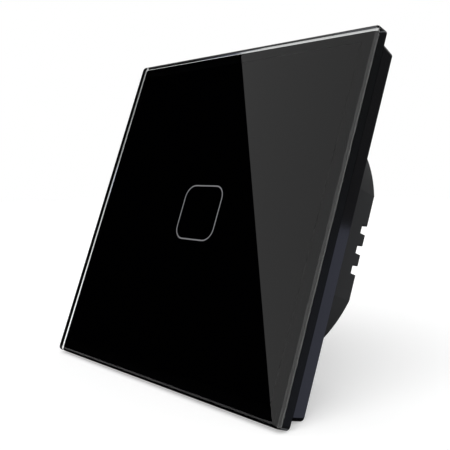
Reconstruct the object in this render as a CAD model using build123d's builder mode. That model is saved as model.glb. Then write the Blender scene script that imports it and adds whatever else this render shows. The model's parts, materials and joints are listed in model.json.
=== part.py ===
"""Touch light switch for a round wall box, drawn piece by piece.

X runs to the viewer's right, Y runs into the wall and Z runs up, in millimetres.
The origin is the middle of the two fixing slots, on the base frame's rear face at Y = 0.
Whatever stands in front of that face has a negative Y.
"""

from build123d import *
import math
import os

os.makedirs("parts", exist_ok=True)

# Glass panel
panel_side = 80.0
panel_drop = 1.0  # the panel's centre hangs this far below the housing's axis
glass_thickness = 3.0
glass_corner = 1.0
bevel_width = 0.9
bevel_depth = 0.16
rear_chamfer = 0.3  # along the glass's rear edges

# Touch mark, a rounded square line let into the glass
mark_side = 13.1
mark_corner = 3.0
mark_aside = 1.3  # the mark's centre lies this far to the right of the panel's centre
mark_drop = 0.8  # and this far below it
mark_line = 0.3
mark_depth = 0.2

# Tape and frame behind the glass
tape_thickness = 0.3
tape_width = 6.0
tape_setback = 0.7
edge_setback = 1.6  # how far the glass overhangs the frame
frame_thickness = 1.3
frame_width = 9.0
parting_gap = 0.1
guide_rail_setback = 11.6  # from each end of a guide rail to the tray's wall
guide_rail_thickness = 0.9
guide_rail_height = 1.0
hook_length = 8.0
hook_thickness = 1.0
hook_reach = 1.75
hook_barb = 0.5
hook_ramp = 0.6  # length of the barb's sloping front
hook_catch = 0.3  # length of the slope under the lip
hook_setback = 18.2  # from each hook's middle to the frame's edge
running_gap = 0.2

# Base frame, the tray that is screwed to the wall box
base_depth = 3.6
base_floor = 1.6
rim_thickness = 1.6
base_corner = 1.0
tray_corner = 1.0
side_draft = 5.0
lip_reach = 0.6
lip_thickness = 0.7
lip_clearance = 0.05
rib_thickness = 1.0
rib_height = 1.1
rib_spacing = 5.5
rib_count = 2
rib_setback = 5.6  # from each end of a rib to the tray's wall
rib_margin = 4.2  # from the outermost rib's middle to the tray's wall
wall_rib_height = 0.4  # two bars on the rear face that rest on the wall
wall_rib_width = 3.0
wall_rib_setback = 8.4  # from each end of a bar to the frame's edge
wall_rib_inset = 2.9  # from a bar's middle to the frame's edge
pry_width = 8.0
pry_depth = 1.2
lip_margin = 1.0  # how far a catch lip runs past its hook at each end
slot_spacing = 60.0
slot_width = 4.2
slot_length = 5.4

# Rear housing, which goes into the wall box
housing_depth = 20.0
housing_radius = 31.0
flat_cut = 4.2  # how deep each flat is cut into the round
shoulder_extra = 0.3  # how much larger the shoulders' radius is than the round ends'
shoulder_shift = 3.2  # from the housing's axis sideways to a shoulder's centre, on its far side
shoulder_rise = 3.4  # from the housing's axis up or down to a shoulder's centre
housing_wall = 1.8
housing_edge = 0.5
notch_pitch = 4.7
notch_height = 2.2
notch_depth = 2.3
notch_reach = 2.6
notch_count = 3
notch_drop = 0.6
vent_width = 1.3
vent_length = 14.0
vent_pitch = 3.2
vent_count = 6
vent_rise = 14.5

# Two screws on one diagonal, which hold the housing to the base frame
screw_offset = 19.2
screw_hole_radius = 1.45
screw_shank_radius = 1.0
screw_head_radius = 2.4
screw_head_height = 1.2
screw_length = 9.0
screw_recess_width = 0.6
screw_recess_length = 2.4
screw_recess_depth = 0.6
sink_clearance = 0.1
pilot_spare = 1.0  # depth of the pilot hole past the screw's tip
boss_radius = 2.4

# Touch board and what stands on it
board_thickness = 1.0
touch_board_side = 33.0
touch_board_corner = 1.0
board_seat = 0.6
floor_opening = 23.6
pad_side = 2.6
pad_offset = 14.2
edge_rib_length = 8.0
edge_rib_thickness = 1.0
edge_rib_proud = 0.5
edge_clearance = 0.1
guide_wall = 1.3
glass_gap = 0.1
led_length = 1.6
led_width = 0.8
led_height = 0.6
led_clearance = 0.15
coil_base_radius = 4.3
coil_top_radius = 2.3
coil_turns = 3
coil_wire = 0.4
coil_side_count = 6
coil_seat = 0.02  # from the board to the lowest turn
chip_length = 8.6
chip_width = 3.9
chip_height = 1.5
chip_draft = 6.0
chip_rise = 11.6
lead_count = 7
lead_pitch = 1.27
lead_width = 0.4
lead_reach = 1.0
lead_thickness = 0.25
lead_root = 0.3  # length of a lead inside the chip's body

# Pins between the two boards
pin_count = 5
pin_pitch = 2.54
pin_side = 0.6
pin_clearance = 0.2
pin_proud = 0.8
strip_width = 2.4
strip_height = 2.4
strip_gap = 0.2
strip_chamfer = 0.4
socket_cavity = 0.75
socket_floor = 0.6
pin_end_gap = 0.4  # from a pin's tip to the socket's floor

# Power board
power_thickness = 1.6
power_clearance = 0.3
ledge_offset = 11.5
ledge_width = 4.0
ledge_reach = 3.0
holder_width = 2.4  # bars under the base frame that hold the board down on the ledges

# Relay
relay_side_gap = 3.0  # to the housing's flat
relay_roof_gap = 0.6  # to the housing's rear wall
relay_z = 1.0
relay_length = 20.0
relay_width = 10.0
relay_height = 10.0
relay_wall = 0.6
relay_base_height = 1.0
relay_fit = 0.05
coil_axis_height = 5.4
core_radius = 1.7
bobbin_flange = 0.7
bobbin_bore_wall = 0.5
bobbin_half_width = 3.4
bobbin_start = 1.7
bobbin_length = 11.1
winding_radius = 2.75
yoke_thickness = 0.8
yoke_half_width = 3.0
armature_thickness = 0.8
armature_half_width = 2.8
armature_height = 6.2
armature_setback = 1.1  # from the bobbin to the armature
relay_corner = 0.5
relay_base_chamfer = 0.4
bobbin_lift = 1.2  # the flanges end this much above the winding's lowest line
winding_gap = 0.1
pole_gap = 0.42
pivot_gap = 0.1
yoke_drop = 3.0  # how far the yoke's riveted leg reaches past the coil's axis
contact_radius = 0.9
contact_height = 0.5
contact_leaf = 0.2
leaf_drop = 1.2  # from the pivot to the leaf's upper end
contact_gap = 0.55
contact_level = 2.1
blade_thickness = 0.4
blade_half_width = 1.5

# Transformer
transformer_z = 2.0
core_width = 13.0
core_height = 9.6
core_stack = 4.6
core_leg = 2.0
core_post = 3.4
winding_wall = 0.5
winding_fill = 1.6
winding_inset = 0.2  # how far the wire stays inside the flanges' edges
winding_corner = 0.8
bobbin_fit = 0.1
turns_gap = 0.05
transformer_foot = 0.8

# Small power parts, in a row above the relay and a row below it
upper_inset = 13.2  # from the round wall's inside to each row
lower_inset = 17.0
capacitor_radius = 4.0
capacitor_length = 12.0
capacitor_x = -8.0
small_capacitor_radius = 3.1
small_capacitor_length = 10.0
small_capacitor_x = 6.0
crimp_depth = 0.35
crimp_setback = 2.2
crimp_width = 1.0
film_side_gap = 1.9  # to the housing's flat
film_z = 0.5
film_width = 5.0
film_length = 13.0
film_height = 9.0
film_corner = 0.8
varistor_x = 14.0
varistor_radius = 3.6
varistor_thickness = 3.2
varistor_edge = 0.8
resistor_x = -15.0
resistor_radius = 1.8
resistor_length = 9.0
rectifier_x = -1.0
rectifier_length = 6.4
rectifier_width = 5.0
rectifier_height = 2.5
rectifier_chamfer = 0.5
rectifier_lead_count = 2
regulator_x = 8.0
regulator_length = 4.9
regulator_width = 3.9
regulator_height = 1.5
regulator_chamfer = 0.3
regulator_lead_count = 4
choke_x = 15.4
choke_radius = 2.5
choke_height = 7.0
choke_flange = 0.9
choke_waist = 1.8

# Radio module on the front of the power board
radio_x = -6.0
radio_z = 7.0
radio_length = 16.0
radio_width = 12.0
radio_thickness = 0.8
shield_length = 10.4
shield_width = 10.4
shield_height = 2.0
shield_wall = 0.3
shield_margin = 0.5
antenna_margin = 0.8
antenna_width = 3.2
antenna_line = 0.5
antenna_pitch = 1.3
antenna_turns = 3
antenna_height = 0.1

# Terminal block with rising cages
terminal_pitch = 5.0
terminal_count = 3
barrier_thickness = 1.1
mouth_inset = 4.4  # from the round wall's outside to the wire mouths
mouth_wall = 1.4
block_length = 9.0
block_back_wall = 1.6
block_setback = 0.6  # how far the block stays inside the housing's rear face
block_floor = 0.6
bay_height = 8.4
shelf_thickness = 0.6
well_radius = 2.05
wire_radius = 1.3
wire_level = 3.0
cage_wall = 0.5
cage_floor = 0.8
cage_nut = 1.2
cage_clearance = 0.15
cage_length = 4.6
cage_gap = 0.2
cage_end_gap = 0.4
wire_space = 2.8
bar_thickness = 0.8
bar_width = 2.0
bar_gap = 0.15
bar_clearance = 0.1
block_chamfer = 0.5
terminal_screw_radius = 1.2
terminal_head_radius = 1.8
terminal_head_height = 1.5
head_gap = 0.1
thread_clearance = 0.05
driver_slot_width = 0.5
driver_slot_run_out = 0.2  # how far the slot's cut runs past each side of the head
driver_slot_depth = 0.7
window_clearance = 0.25
window_sill = 1.2  # from the power board to the window's front edge

# Levels along Y that several pieces share
rim_front = -base_depth
frame_rear = rim_front - parting_gap
frame_front = frame_rear - frame_thickness
glass_rear = frame_front - tape_thickness
glass_front = glass_rear - glass_thickness
floor_front = -base_floor
touch_board_rear = floor_front - board_seat
touch_board_front = touch_board_rear - board_thickness
housing_inner = housing_depth - housing_wall
power_rear = housing_inner - relay_roof_gap - relay_height
power_front = power_rear - power_thickness
block_rear = housing_depth - block_setback
window_front = power_rear + window_sill

# Sides that several pieces share
base_side = panel_side - 2 * edge_setback
base_rear_side = base_side - 2 * base_depth * math.tan(math.radians(side_draft))
tray_side = base_side - 2 * rim_thickness
rib_length = tray_side - 2 * rib_setback
guide_rail_length = tray_side - 2 * guide_rail_setback
hook_offset = base_side / 2 - hook_setback
wall_rib_length = base_side - 2 * wall_rib_setback
wall_rib_x = base_side / 2 - wall_rib_inset
housing_flat = housing_radius - flat_cut
inner_radius = housing_radius - housing_wall
inner_flat = housing_flat - housing_wall
screw_places = [(-screw_offset, screw_offset), (screw_offset, -screw_offset)]
ledge_x = inner_flat - ledge_reach / 2
ledge_places = [(x, z) for x in (-ledge_x, ledge_x) for z in (-ledge_offset, ledge_offset)]

# Places of the parts on the power board
upper_row = inner_radius - upper_inset
lower_row = lower_inset - inner_radius
relay_x = -inner_flat + relay_side_gap + relay_length / 2
film_x = inner_flat - film_side_gap - film_width / 2
transformer_x = (relay_x + relay_length / 2 + film_x - film_width / 2) / 2
mouth_z = mouth_inset - housing_radius
block_back_z = mouth_z + block_length


def at_depth(y):
    """Plane across the housing's axis at depth y; an extrusion from it goes towards the viewer."""
    return Plane(origin=(0, y, 0), x_dir=(1, 0, 0), z_dir=(0, -1, 0))


def panel_at(y):
    """The same plane, centred on the panel, which hangs a little lower."""
    return Plane(origin=(0, y, -panel_drop), x_dir=(1, 0, 0), z_dir=(0, -1, 0))


def mark_at(y):
    """Sketch plane that faces the viewer at depth y, centred on the touch mark."""
    return Plane(origin=(mark_aside, y, -panel_drop - mark_drop), x_dir=(1, 0, 0), z_dir=(0, -1, 0))


def spot(x, y, z):
    """Plane at one place, facing the viewer."""
    return Plane(origin=(x, y, z), x_dir=(1, 0, 0), z_dir=(0, -1, 0))


def top_view(x, y, z):
    """Plane at one place seen from above: its own axes are X and Y."""
    return Plane(origin=(x, y, z), x_dir=(1, 0, 0), z_dir=(0, 0, 1))


def side_view(x, y, z):
    """Plane at one place seen from the right: its own axes are Y and Z."""
    return Plane(origin=(x, y, z), x_dir=(0, 1, 0), z_dir=(1, 0, 0))


def housing_outline(level, inset):
    """The housing's outline at one depth, moved in by a distance: flats, shoulders and round ends."""
    radius = housing_radius - inset
    flat = housing_flat - inset
    shoulder = housing_radius + shoulder_extra - inset
    flat_end = shoulder_rise + math.sqrt(shoulder**2 - (flat + shoulder_shift) ** 2)
    # A shoulder meets the round end where the two circles cross
    apart = math.hypot(shoulder_shift, shoulder_rise)
    along = (radius**2 - shoulder**2 + apart**2) / (2 * apart)
    across = math.sqrt(radius**2 - along**2)
    meet_x = (shoulder_rise * across - shoulder_shift * along) / apart
    meet_z = (shoulder_shift * across + shoulder_rise * along) / apart
    start = math.atan2(flat_end - shoulder_rise, flat + shoulder_shift)
    end = math.atan2(meet_z - shoulder_rise, meet_x + shoulder_shift)
    middle = (start + end) / 2
    middle_x = shoulder * math.cos(middle) - shoulder_shift
    middle_z = shoulder * math.sin(middle) + shoulder_rise
    with BuildSketch(at_depth(level)) as outline:
        with BuildLine():
            for side in (-1, 1):
                Line((side * flat, -flat_end), (side * flat, flat_end))
                ThreePointArc((-meet_x, side * meet_z), (0, side * radius), (meet_x, side * meet_z))
                for way in (-1, 1):
                    ThreePointArc(
                        (side * flat, way * flat_end),
                        (side * middle_x, way * middle_z),
                        (side * meet_x, way * meet_z),
                    )
        make_face()
    return outline.sketch


def save(piece, name):
    """Label a finished piece and write it to its own file."""
    piece.part.label = name
    export_step(piece.part, f"parts/{name}.step")


# Glass panel: a square plate with a shallow bevel round its front and a chamfer round its back
with BuildPart() as glass_panel:
    outline_level = glass_front + bevel_depth
    with BuildSketch(panel_at(glass_rear)):
        RectangleRounded(panel_side, panel_side, glass_corner)
    extrude(amount=glass_rear - outline_level)
    chamfer(glass_panel.faces().sort_by(Axis.Y)[-1].edges(), rear_chamfer)
    with BuildSketch(panel_at(outline_level)):
        RectangleRounded(panel_side, panel_side, glass_corner)
    bevel_side = panel_side - 2 * bevel_width
    with BuildSketch(panel_at(glass_front)):
        RectangleRounded(bevel_side, bevel_side, glass_corner - bevel_width)
    loft(ruled=True)
    with BuildSketch(mark_at(glass_front + mark_depth)):
        RectangleRounded(mark_side, mark_side, mark_corner)
        inner_mark = mark_side - 2 * mark_line
        RectangleRounded(inner_mark, inner_mark, mark_corner - mark_line, mode=Mode.SUBTRACT)
    extrude(amount=mark_depth, mode=Mode.SUBTRACT)
save(glass_panel, "glass_panel")

# Touch mark: the printed line that fills the groove flush with the glass
with BuildPart() as touch_mark:
    with BuildSketch(mark_at(glass_front + mark_depth)):
        RectangleRounded(mark_side, mark_side, mark_corner)
        RectangleRounded(inner_mark, inner_mark, mark_corner - mark_line, mode=Mode.SUBTRACT)
    extrude(amount=mark_depth)
save(touch_mark, "touch_mark")

# Tape: a thin adhesive frame between the glass and its carrier
with BuildPart() as panel_tape:
    tape_side = base_side - 2 * tape_setback
    with BuildSketch(panel_at(frame_front)):
        Rectangle(tape_side, tape_side)
        inner_tape = tape_side - 2 * tape_width
        Rectangle(inner_tape, inner_tape, mode=Mode.SUBTRACT)
    extrude(amount=tape_thickness)
save(panel_tape, "panel_tape")

# Panel frame: the carrier glued to the glass, with two guide rails and four snap hooks
with BuildPart() as panel_frame:
    with BuildSketch(panel_at(frame_rear)):
        RectangleRounded(base_side, base_side, base_corner)
        frame_opening = base_side - 2 * frame_width
        Rectangle(frame_opening, frame_opening, mode=Mode.SUBTRACT)
    extrude(amount=frame_thickness)
    rail_middle = tray_side / 2 - running_gap - guide_rail_thickness / 2
    with BuildSketch(panel_at(frame_rear + guide_rail_height)):
        with Locations((-rail_middle, 0), (rail_middle, 0)):
            Rectangle(guide_rail_thickness, guide_rail_length)
    extrude(amount=guide_rail_height)
    # Each hook is drawn from the side as an arm with a wedge barb under the base frame's lip
    hook_tip = tray_side / 2 - lip_reach - lip_clearance
    hook_face = hook_tip - hook_barb
    hook_end = frame_rear + hook_reach
    for side in (-1, 1):
        for start in (-hook_offset, hook_offset):
            with BuildSketch(side_view(start, 0, -panel_drop)):
                with BuildLine():
                    Polyline(
                        (frame_rear, side * (hook_face - hook_thickness)),
                        (frame_rear, side * hook_face),
                        (hook_end - hook_ramp - hook_catch, side * hook_face),
                        (hook_end - hook_ramp, side * hook_tip),
                        (hook_end, side * hook_face),
                        (hook_end, side * (hook_face - hook_thickness)),
                        close=True,
                    )
                make_face()
            extrude(amount=hook_length / 2, both=True)
save(panel_frame, "panel_frame")

# Base frame: a shallow drafted tray with catch lips, board pegs, ribs and the two fixing slots
with BuildPart() as base_frame:
    with BuildSketch(panel_at(0)):
        RectangleRounded(base_rear_side, base_rear_side, base_corner)
    with BuildSketch(panel_at(rim_front)):
        RectangleRounded(base_side, base_side, base_corner)
    loft(ruled=True)
    with BuildSketch(panel_at(floor_front)):
        RectangleRounded(tray_side, tray_side, tray_corner)
    extrude(amount=base_depth - base_floor, mode=Mode.SUBTRACT)
    # Catch lips along the upper and lower walls
    lip_middle = tray_side / 2 - lip_reach / 2
    lip_places = [(x, z) for x in (-hook_offset, hook_offset) for z in (-lip_middle, lip_middle)]
    with BuildSketch(panel_at(rim_front + lip_thickness)):
        with Locations(*lip_places):
            Rectangle(hook_length + 2 * lip_margin, lip_reach)
    extrude(amount=lip_thickness)
    # Stiffening ribs above and below the housing
    with BuildSketch(panel_at(floor_front)):
        for side in (-1, 1):
            for k in range(rib_count):
                with Locations((0, side * (tray_side / 2 - rib_margin - k * rib_spacing))):
                    Rectangle(rib_length, rib_thickness)
    extrude(amount=rib_height)
    # Pads under the touch board's corners
    with BuildSketch(panel_at(floor_front)):
        with GridLocations(2 * pad_offset, 2 * pad_offset, 2, 2):
            Rectangle(pad_side, pad_side)
    extrude(amount=board_seat)
    # One rib against the middle of each edge of the touch board
    edge_middle = touch_board_side / 2 + edge_clearance + edge_rib_thickness / 2
    with BuildSketch(panel_at(floor_front)):
        with Locations((-edge_middle, 0), (edge_middle, 0)):
            Rectangle(edge_rib_thickness, edge_rib_length)
        with Locations((0, -edge_middle), (0, edge_middle)):
            Rectangle(edge_rib_length, edge_rib_thickness)
    extrude(amount=board_seat + board_thickness + edge_rib_proud)
    # Bars that rest on the wall, one along each side of the rear face
    with BuildSketch(at_depth(wall_rib_height)):
        with Locations((-wall_rib_x, 0), (wall_rib_x, 0)):
            Rectangle(wall_rib_width, wall_rib_length)
    extrude(amount=wall_rib_height)
    # Bars inside the housing that hold the power board down on its ledges
    with BuildSketch(at_depth(power_front)):
        with Locations(*ledge_places):
            Rectangle(holder_width, holder_width)
    extrude(amount=power_front)
    # Opening for the pins between the boards
    with BuildSketch(panel_at(0)):
        Rectangle(floor_opening, floor_opening)
    extrude(amount=base_floor, mode=Mode.SUBTRACT)
    # Fixing slots, which pass the wall box screws outside the housing's flats
    with BuildSketch(at_depth(0)):
        with Locations((-slot_spacing / 2, 0), (slot_spacing / 2, 0)):
            SlotOverall(slot_length, slot_width)
    extrude(amount=base_floor, mode=Mode.SUBTRACT)
    # Countersunk holes for the housing screws
    with Locations(at_depth(floor_front)):
        with Locations(*screw_places):
            CounterSinkHole(screw_hole_radius, screw_head_radius + sink_clearance, base_floor)
    # Pry notch for lifting the panel off, in the middle of the lower rim
    with BuildSketch(panel_at(rim_front + pry_depth)):
        with Locations((0, -base_side / 2 + rim_thickness / 2)):
            Rectangle(pry_width, 2 * rim_thickness)
    extrude(amount=pry_depth, mode=Mode.SUBTRACT)
save(base_frame, "base_frame")

# Rear housing: a round cup with two flats, comb notches, vents and a window for the terminals
block_width = terminal_count * terminal_pitch + barrier_thickness
with BuildPart() as rear_housing:
    edge_level = housing_depth - housing_edge
    extrude(housing_outline(edge_level, 0), amount=edge_level)
    loft([housing_outline(edge_level, 0), housing_outline(housing_depth, housing_edge)], ruled=True)
    extrude(housing_outline(housing_inner, housing_wall), amount=housing_inner, mode=Mode.SUBTRACT)
    # Screw bosses grow out of the round wall
    with BuildSketch(at_depth(housing_inner)):
        with Locations(*screw_places):
            Circle(boss_radius)
    extrude(amount=housing_inner)
    with BuildSketch(at_depth(screw_length + pilot_spare)):
        with Locations(*screw_places):
            Circle(screw_shank_radius + thread_clearance)
    extrude(amount=screw_length + pilot_spare, mode=Mode.SUBTRACT)
    # Ledges along the flats that carry the power board
    with BuildSketch(at_depth(housing_inner)):
        with Locations(*ledge_places):
            Rectangle(ledge_reach, ledge_width)
    extrude(amount=housing_inner - power_rear)
    # Comb notches in the rear edge of both flats
    with BuildSketch(at_depth(housing_depth)):
        notch_middle = housing_flat - notch_reach / 2
        with Locations((-notch_middle, -notch_drop), (notch_middle, -notch_drop)):
            with GridLocations(0, notch_pitch, 1, notch_count):
                Rectangle(notch_reach, notch_height)
    extrude(amount=notch_depth, mode=Mode.SUBTRACT)
    # Ventilation slots in the rear wall
    with BuildSketch(at_depth(housing_depth)):
        with Locations((0, vent_rise)):
            with GridLocations(vent_pitch, 0, vent_count, 1):
                Rectangle(vent_width, vent_length)
    extrude(amount=housing_wall, mode=Mode.SUBTRACT)
    # Window for the terminal block, open to the rear and to the bottom
    with BuildSketch(at_depth(housing_depth)):
        window_top = block_back_z + window_clearance
        with Locations((0, (window_top - housing_radius) / 2)):
            Rectangle(block_width + 2 * window_clearance, window_top + housing_radius)
    extrude(amount=housing_depth - window_front, mode=Mode.SUBTRACT)
save(rear_housing, "rear_housing")

# Housing screws: countersunk heads with a cross recess
with BuildPart() as housing_screws:
    for x, z in screw_places:
        with BuildSketch(top_view(x, floor_front, z)):
            with BuildLine():
                Polyline(
                    (0, 0),
                    (screw_head_radius, 0),
                    (screw_shank_radius, screw_head_height),
                    (screw_shank_radius, screw_length),
                    (0, screw_length),
                    close=True,
                )
            make_face()
        revolve(axis=Axis((x, 0, z), (0, 1, 0)))
    with BuildSketch(at_depth(floor_front + screw_recess_depth)):
        with Locations(*screw_places):
            Rectangle(screw_recess_length, screw_recess_width)
            Rectangle(screw_recess_width, screw_recess_length)
    extrude(amount=screw_recess_depth, mode=Mode.SUBTRACT)
save(housing_screws, "housing_screws")

# Touch board: the square board right behind the glass
header_z = -9.0
header_places = [((k - (pin_count - 1) / 2) * pin_pitch, header_z) for k in range(pin_count)]
with BuildPart() as touch_board:
    with BuildSketch(panel_at(touch_board_rear)) as board_outline:
        Rectangle(touch_board_side, touch_board_side)
        chamfer(board_outline.vertices(), touch_board_corner)
        with Locations(*header_places):
            Rectangle(pin_side + pin_clearance, pin_side + pin_clearance, mode=Mode.SUBTRACT)
    extrude(amount=board_thickness)
save(touch_board, "touch_board")

# Light guide: a clear rounded-square wall that leads the light to the touch mark
guide_outer = mark_side - mark_line + guide_wall
guide_inner = mark_side - mark_line - guide_wall
guide_height = touch_board_front - glass_rear - glass_gap
led_offset = (guide_outer + guide_inner) / 4
led_places = [(led_offset, 0), (0, led_offset), (-led_offset, 0), (0, -led_offset)]
with BuildPart() as light_guide:
    with BuildSketch(mark_at(touch_board_front)):
        RectangleRounded(guide_outer, guide_outer, mark_corner + guide_wall / 2)
        RectangleRounded(guide_inner, guide_inner, mark_corner - guide_wall / 2, mode=Mode.SUBTRACT)
    extrude(amount=guide_height)
    with BuildSketch(mark_at(touch_board_front)):
        pocket = led_length + 2 * led_clearance
        with Locations(*led_places):
            Rectangle(pocket, pocket)
    extrude(amount=led_height + led_clearance, mode=Mode.SUBTRACT)
save(light_guide, "light_guide")

# Indicator lamps, one in each pocket of the light guide
with BuildPart() as indicator_leds:
    with BuildSketch(mark_at(touch_board_front)):
        with Locations(led_places[0], led_places[2]):
            Rectangle(led_width, led_length)
        with Locations(led_places[1], led_places[3]):
            Rectangle(led_length, led_width)
    extrude(amount=led_height)
save(indicator_leds, "indicator_leds")

# Touch spring: a conical coil from the board's sensor pad to the back of the glass
coil_start = touch_board_front - coil_wire / 2 - coil_seat
coil_end = glass_rear + coil_wire / 2 + glass_gap
quarters = 4 * coil_turns


def coil_point(quarter):
    """Point on the coil's centre line after a number of quarter turns."""
    share = quarter / quarters
    angle = math.radians(90) * quarter
    radius = coil_base_radius + (coil_top_radius - coil_base_radius) * share
    level = coil_start + (coil_end - coil_start) * share
    height = radius * math.sin(angle) - panel_drop - mark_drop
    return Vector(mark_aside + radius * math.cos(angle), level, height)


def coil_heading(quarter):
    """Direction of the coil's centre line at that point."""
    step = 0.001
    return (coil_point(quarter + step) - coil_point(quarter - step)).normalized()


with BuildPart() as touch_spring:
    with BuildLine() as coil_path:
        for k in range(quarters):
            # Each quarter turn is two arcs that meet in a common tangent
            start, end = coil_point(k), coil_point(k + 1)
            leave, arrive = coil_heading(k), coil_heading(k + 1)
            span, both = end - start, leave + arrive
            spread = 2 * (1 - leave.dot(arrive))
            reach = (-span.dot(both) + math.sqrt(span.dot(both) ** 2 + spread * span.dot(span))) / spread
            first_corner = start + leave * reach
            second_corner = end - arrive * reach
            meeting = (first_corner + second_corner) / 2
            TangentArc(start, meeting, tangent=leave)
            TangentArc(meeting, end, tangent=second_corner - first_corner)
    with BuildSketch(Plane(coil_path.line @ 0, z_dir=coil_path.line % 0)):
        RegularPolygon(coil_wire / 2, coil_side_count)
    sweep()
coil_rise_per_turn = abs(coil_end - coil_start) / coil_turns
coil_step_per_turn = (coil_base_radius - coil_top_radius) / coil_turns
coil_gap = math.hypot(coil_rise_per_turn, coil_step_per_turn) - coil_wire
print("least gap between the spring's turns:", round(coil_gap, 2))
save(touch_spring, "touch_spring")


def gull_leads(centre_x, board_face, centre_z, half_body, count):
    """Two rows of flat leads, above and below a chip's body, as a sketch on the board's face."""
    with BuildSketch(spot(centre_x, board_face, centre_z)) as leads:
        with GridLocations(lead_pitch, 2 * half_body + lead_reach - lead_root, count, 2):
            Rectangle(lead_width, lead_reach + lead_root)
    return leads.sketch


# Touch chip: a moulded body with two rows of leads, above the light guide
with BuildPart() as touch_chip:
    with BuildSketch(spot(0, touch_board_front, chip_rise - panel_drop)):
        Rectangle(chip_length, chip_width)
    extrude(amount=chip_height, taper=chip_draft)
    chip_leads = gull_leads(0, touch_board_front, chip_rise - panel_drop, chip_width / 2, lead_count)
    extrude(chip_leads, amount=lead_thickness)
save(touch_chip, "touch_chip")

# Pin strip on the back of the touch board
with BuildPart() as pin_strip:
    with BuildSketch(panel_at(touch_board_rear + strip_height)):
        with Locations((0, header_z)):
            Rectangle(pin_count * pin_pitch, strip_width)
        with Locations(*header_places):
            Rectangle(pin_side, pin_side, mode=Mode.SUBTRACT)
    extrude(amount=strip_height)
    strip_ends = pin_strip.edges().filter_by(Axis.Y).group_by(Axis.X)
    chamfer(strip_ends[0] + strip_ends[-1], strip_chamfer)
save(pin_strip, "pin_strip")

# Header pins: square posts through the board and the strip, down into the socket
with BuildPart() as header_pins:
    pin_tip = power_front - socket_floor - pin_end_gap
    with BuildSketch(panel_at(pin_tip)):
        with Locations(*header_places):
            Rectangle(pin_side, pin_side)
    extrude(amount=pin_tip - touch_board_front + pin_proud)
save(header_pins, "header_pins")

# Socket strip on the front of the power board
socket_front = touch_board_rear + strip_height + strip_gap
with BuildPart() as socket_strip:
    with BuildSketch(panel_at(power_front)):
        with Locations((0, header_z)):
            Rectangle(pin_count * pin_pitch, strip_width)
    extrude(amount=power_front - socket_front)
    with BuildSketch(panel_at(power_front - socket_floor)):
        with Locations(*header_places):
            Rectangle(socket_cavity, socket_cavity)
    extrude(amount=power_front - socket_floor - socket_front, mode=Mode.SUBTRACT)
save(socket_strip, "socket_strip")

# Power board: follows the housing's inside, with room for the screw bosses
with BuildPart() as power_board:
    extrude(housing_outline(power_rear, housing_wall + power_clearance), amount=power_thickness)
    with BuildSketch(at_depth(power_rear)):
        with Locations(*screw_places):
            Circle(boss_radius + power_clearance)
    extrude(amount=power_thickness, mode=Mode.SUBTRACT)
save(power_board, "power_board")

# Relay, lying on the board with its coil along X; its own levels count from the board
relay_left = relay_x - relay_length / 2
relay_inside = relay_length - 2 * relay_wall


def relay_at(along, height):
    """Plane across the relay at a distance from its left end, and a height above the board."""
    return Plane(origin=(relay_left + along, power_rear + height, relay_z), x_dir=(0, 1, 0), z_dir=(1, 0, 0))


def relay_level(height):
    """Plane parallel to the board at a height above it, centred on the relay."""
    return spot(relay_x, power_rear + height, relay_z)


# Relay base, slotted for the fixed contact's blade
armature_along = bobbin_start + bobbin_length + armature_setback
leaf_face = armature_along + armature_thickness
fixed_face = leaf_face - contact_height - contact_gap
blade_along = fixed_face - contact_height - blade_thickness
with BuildPart() as relay_base:
    with BuildSketch(relay_level(0)):
        Rectangle(relay_inside - 2 * relay_fit, relay_width - 2 * relay_wall - 2 * relay_fit)
    extrude(amount=-relay_base_height)
    chamfer(relay_base.edges().filter_by(Axis.Y), relay_base_chamfer)
    with BuildSketch(relay_level(0)):
        with Locations((relay_left + blade_along + blade_thickness / 2 - relay_x, 0)):
            Rectangle(blade_thickness, 2 * blade_half_width)
    extrude(amount=-relay_base_height, mode=Mode.SUBTRACT)
save(relay_base, "relay_base")

# Relay cover: a thin box open towards the board
with BuildPart() as relay_case:
    with BuildSketch(relay_level(relay_height)):
        Rectangle(relay_length, relay_width)
    extrude(amount=relay_height)
    chamfer(relay_case.edges().filter_by(Axis.Y), relay_corner)
    chamfer(relay_case.faces().sort_by(Axis.Y)[-1].edges(), relay_corner)
    with BuildSketch(relay_level(relay_height - relay_wall)):
        Rectangle(relay_inside, relay_width - 2 * relay_wall)
    extrude(amount=relay_height - relay_wall, mode=Mode.SUBTRACT)
save(relay_case, "relay_case")

# Relay bobbin: a tube with two flanges, flattened towards the board
with BuildPart() as relay_bobbin:
    with BuildSketch(relay_at(bobbin_start, coil_axis_height)):
        Circle(core_radius + relay_fit + bobbin_bore_wall)
    extrude(amount=bobbin_length)
    flange_top = relay_height - relay_wall - yoke_thickness - relay_fit - coil_axis_height
    flange_bottom = bobbin_half_width - bobbin_lift
    for along in (bobbin_start, bobbin_start + bobbin_length - bobbin_flange):
        with BuildSketch(relay_at(along, coil_axis_height)):
            with Locations(((flange_top - flange_bottom) / 2, 0)):
                Rectangle(flange_top + flange_bottom, 2 * bobbin_half_width)
        extrude(amount=bobbin_flange)
    with BuildSketch(relay_at(bobbin_start, coil_axis_height)):
        Circle(core_radius + relay_fit)
    extrude(amount=bobbin_length, mode=Mode.SUBTRACT)
save(relay_bobbin, "relay_bobbin")

# Relay winding, one block of wire between the flanges
with BuildPart() as relay_winding:
    with BuildSketch(relay_at(bobbin_start + bobbin_flange + winding_gap, coil_axis_height)):
        Circle(winding_radius)
        Circle(core_radius + relay_fit + bobbin_bore_wall, mode=Mode.SUBTRACT)
    extrude(amount=bobbin_length - 2 * bobbin_flange - 2 * winding_gap)
save(relay_winding, "relay_winding")

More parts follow.
